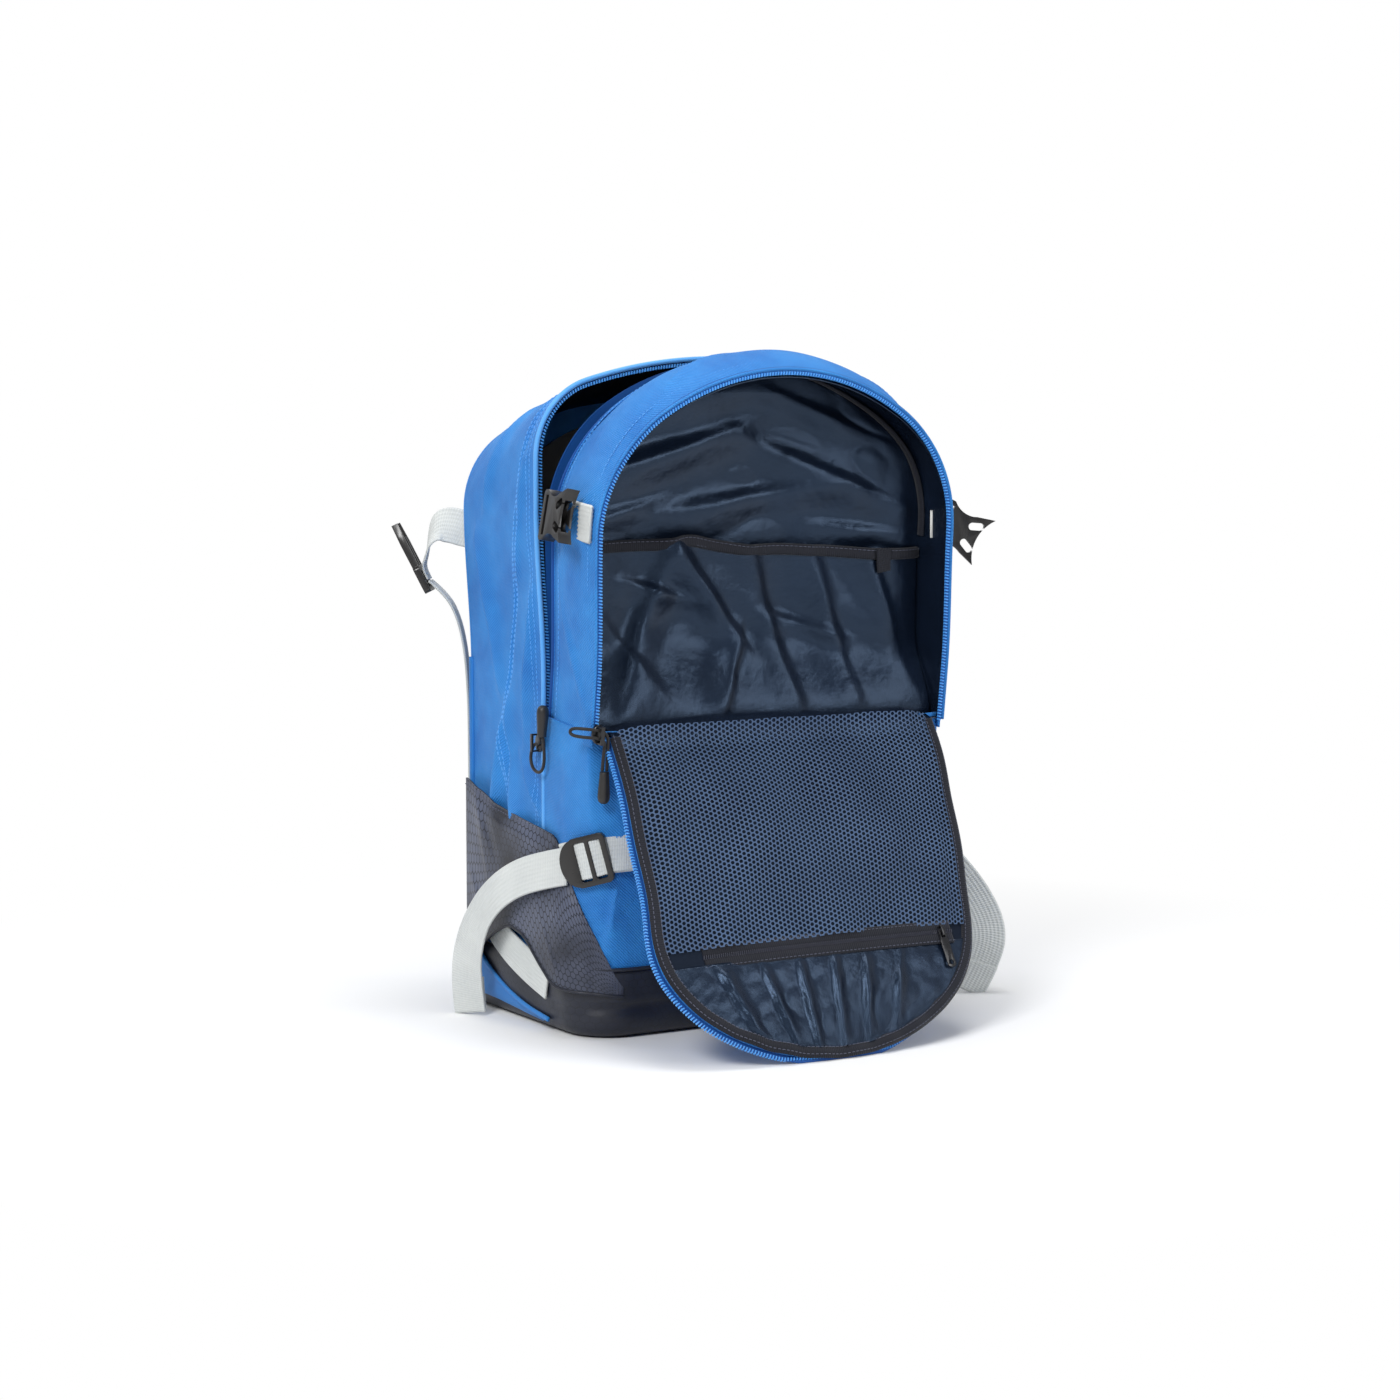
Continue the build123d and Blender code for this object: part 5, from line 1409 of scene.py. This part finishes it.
wear(sheetPiece("flapPocketLining", panelPoints(x, v, 1.7 * mm + np.abs(pleats) * ease), flapOut, 0.5 * mm),
     liningCloth, "front_flap", "lining", "flap_lining")
around = 420
outline = archPath(flap["half"] - panel["band"] / 2, flap["length"] - panel["band"] / 2, 1 * mm, around)
sideways = planNormals(outline)
share = np.linspace(0, 1, around)
# the binding puckers round the tip
pucker = 0.7 * mm * np.sin(150 * share) * smoothStep(0.3, 0.42, share) * smoothStep(0.72, 0.6, share)


def outlineLine(away, n):
    flat = outline + sideways * np.reshape(away, (-1, 1))
    return panelPoints(flat[:, 0], flat[:, 1], n + 0 * flat[:, 0])


bandLine = outlineLine(0, 1.0 * mm + pucker)
wear(sweepPiece("flapBinding", bandLine, flapOut, bandProfile(panel["band"] + 1 * mm, 4.6 * mm)),
     bindingTape, "front_flap", "binding", "flap_binding")
for k, away in enumerate((-2.6 * mm, 2.2 * mm)):
    stitchRow("flapStitch%d" % k, outlineLine(away, 3.35 * mm + pucker), flapOut, threadDark, "front_flap",
              "binding", (2.1 * mm, 0.45 * mm, 0.4 * mm), 3 * mm)
rightShare = smoothStep(0.50, 0.62, share)
tapeLine = outlineLine(3.4 * mm - 3.6 * mm * rightShare, -2.4 * mm)
wear(sweepPiece("flapZipTape", tapeLine, flapOut, bandProfile(7.5 * mm, 1.0 * mm)),
     blueTape, "front_flap", "zip_coil", "flap_zip_track")
wear(repeatAlong("flapZipCoil", outlineLine(6.2 * mm - 4.2 * mm * rightShare, -2.2 * mm), flapOut,
                 teeth["pitch"], (1.3 * mm, 2.6 * mm, 2.2 * mm), teeth["slant"]),
     blueCoil, "front_flap", "zip_coil")

zx = np.linspace(-106 * mm, 84 * mm, 160)


def pocketLine(away, n):
    # straight across the panel, on the height that its surface has there
    back = zx + 0 * away
    return onFlap(back, zipEdge + away + 0 * zx, n + flapSag(zx, zipEdge + 0 * zx))


for k, away in enumerate((-4.4 * mm, 4.4 * mm)):
    wear(sweepPiece("pocketZipTape%d" % k, pocketLine(away, 2.0 * mm), flapOut, bandProfile(7.4 * mm, 1.0 * mm)),
         bindingTape, "front_flap", "binding", *(["pocket_zip"] if k == 0 else []))
    stitchRow("pocketZipStitch%d" % k, pocketLine(away * 1.45, 2.6 * mm), flapOut, threadDark, "front_flap",
              "binding", (2.1 * mm, 0.4 * mm, 0.4 * mm), 3 * mm)
wear(repeatAlong("pocketZipCoil", pocketLine(0.0, 2.2 * mm), flapOut, 1.5 * mm,
                 (0.95 * mm, 3.4 * mm, 1.4 * mm), 0.2),
     darkCoil, "front_flap", "binding")

# a soft roll over the sill, from the floor of the compartment to the top of the panel
x = np.linspace(-1, 1, 90)[:, None] * (flap["half"] - 1 * mm)
t = np.linspace(0, 1, 16)[None, :]
roll = 6.5 * mm + 1.2 * mm * np.cos(x / flap["half"] * 4.1 + 0.6)
roll = roll * np.clip((1 - np.abs(x) / flap["half"]) * 7, 0.35, 1)
sillY = pack["frontY"] + 20 * mm - (20 * mm + flap["play"]) * t + 0 * x
sillZ = pod["floor"] + 3 * mm + roll * np.sin(math.pi * t ** 0.8) * (1 - 0.25 * t)
sill = lean(np.stack([x + 0 * t, sillY, sillZ], -1))
hem = onFlap(x + 0 * t, 10 * mm * t + 0 * x, 2.4 * mm - 0.6 * mm * t + 0 * x)
bridge = np.concatenate([sill, hem[:, 3:]], 1)
bridgePiece = sheetPiece("foldBridge", bridge, (0, -0.3, 1), 1.0 * mm)
wear(bridgePiece, liningCloth, None, "lining")
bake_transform(bridgePiece)
print("front panel ready")


# ---- buckles, locks and sliders ----

moulded = dict(female_buckle=0.7 * mm, male_buckle=0.5 * mm, lower_lock=0.7 * mm, shoulder_lock=0.7 * mm)


def humped(name, body, centre, along, out, across, wide):
    # webbing through a lock's windows: under the outer bars and over the middle one
    reach = np.linspace(-15 * mm, 15 * mm, 70)[:, None]
    height = 1.5 * mm * np.cos(reach / (5.6 * mm)) - 0.2 * mm
    wear(strapPiece(name, centre + along * reach + out * height, [across] * 2, wide, 1.2 * mm),
         webbingTape, body, "webbing")


for side, name in sides:
    for node, edge in moulded.items():
        first, last = node.split("_")
        wear(softened(first + last.title() + name.title(), node + "_" + name, edge, 3),
             blackPlastic, node + "_" + name, "buckle_plastic", node + "_" + name)
    lock = "shoulder_lock_" + name
    humped("shoulderLockWebbing" + name.title(), lock, (lowOf(lock) + highOf(lock)) / 2,
           np.array([0, 0, 1]), np.array([0, 1, 0]), (1, 0, 0), 24.5 * mm)
    lock, flat, fall = "lower_lock_" + name, math.sqrt(0.5), lowerStrap["fall"]
    along = np.array([side * flat * math.cos(fall), flat * math.cos(fall), -math.sin(fall)])
    out = np.array([side * flat, -flat, 0.0])
    humped("lockWebbing" + name.title(), lock, (lowOf(lock) + highOf(lock)) / 2, along, out,
           np.cross(along, out), webbing["wide"] - 0.5 * mm)
for node in ("front_slider", "main_slider", "pocket_slider", "pocket_pull"):
    first, last = node.split("_")
    wear(softened(first + last.title(), node, 0.25 * mm), blackMetal, node, "slider_metal", node)
print("hardware ready")


# ---- floor, world and light ----

def seenFrom(tree, *rays):
    # 1 for the kinds of ray that are named, for what should show white without lighting the part
    path = tree.nodes.new("ShaderNodeLightPath")
    seen = path.outputs[rays[0]]
    for ray in rays[1:]:
        seen = mathNode(tree, "MAXIMUM", seen, path.outputs[ray])
    return seen


def mixShaders(tree, share, first, second, output):
    mix = tree.nodes.new("ShaderNodeMixShader")
    for socket, value in zip(mix.inputs, (share, first, second)):
        tree.links.new(value, socket)
    tree.links.new(mix.outputs[0], tree.nodes[output].inputs[0])


floorMesh = meshObject("floor", [(-4, -4, 0), (4, -4, 0), (4, 4, 0), (-4, 4, 0)], [(0, 1, 2, 3)])
floorMade, tree, shader = material("pale floor", 0.75, Base_Color=(0.9, 0.9, 0.9, 1), Specular_IOR_Level=0.3)
spot = tree.nodes.new("ShaderNodeTexCoord")
far = vectorNode(tree, "MULTIPLY", spot.outputs["Object"], (1.0, 1.0, 0.0))
fade = mathNode(tree, "MULTIPLY_ADD", vectorNode(tree, "LENGTH", far), 2.2, -0.45)
fade.node.use_clamp = True
seen = seenFrom(tree, "Is Camera Ray", "Is Glossy Ray", "Is Transmission Ray")
white = tree.nodes.new("ShaderNodeEmission")
white.inputs[0].default_value = (1, 1, 1, 1)
mixShaders(tree, mathNode(tree, "MULTIPLY", fade, seen), shader.outputs[0], white.outputs[0], "Material Output")
floorMesh.data.materials.append(floorMade)

world = bpy.data.worlds.new("studio")
bpy.context.scene.world = world
world.use_nodes = True
tree = world.node_tree
dim, bright = tree.nodes["Background"], tree.nodes.new("ShaderNodeBackground")
for node, colour, strength in ((dim, (0.95, 0.97, 1.0, 1), 0.42), (bright, (1, 1, 1, 1), 1.0)):
    node.inputs[0].default_value = colour
    node.inputs[1].default_value = strength
seen = seenFrom(tree, "Is Camera Ray", "Is Transmission Ray")
mixShaders(tree, seen, dim.outputs[0], bright.outputs[0], "World Output")

aim = (0, -0.02, 0.2)
lamps = dict(
    key=((-2.0, -1.3, 1.9), 46, 0.8), fill=((1.2, -2.3, 1.2), 22, 1.2), top=((0.1, -0.1, 2.4), 24, 1.0),
    rear=((-0.9, 1.9, 1.6), 12, 1.1))
for name, (spot, power, size) in lamps.items():
    light = bpy.data.lights.new(name, "AREA")
    light.energy, light.size = power, size
    lamp = newObject(name, light)
    lamp.location = spot
    lamp.rotation_euler = (Vector(aim) - Vector(spot)).to_track_quat("-Z", "Y").to_euler()

bpy.context.scene.view_settings.view_transform = "Standard"
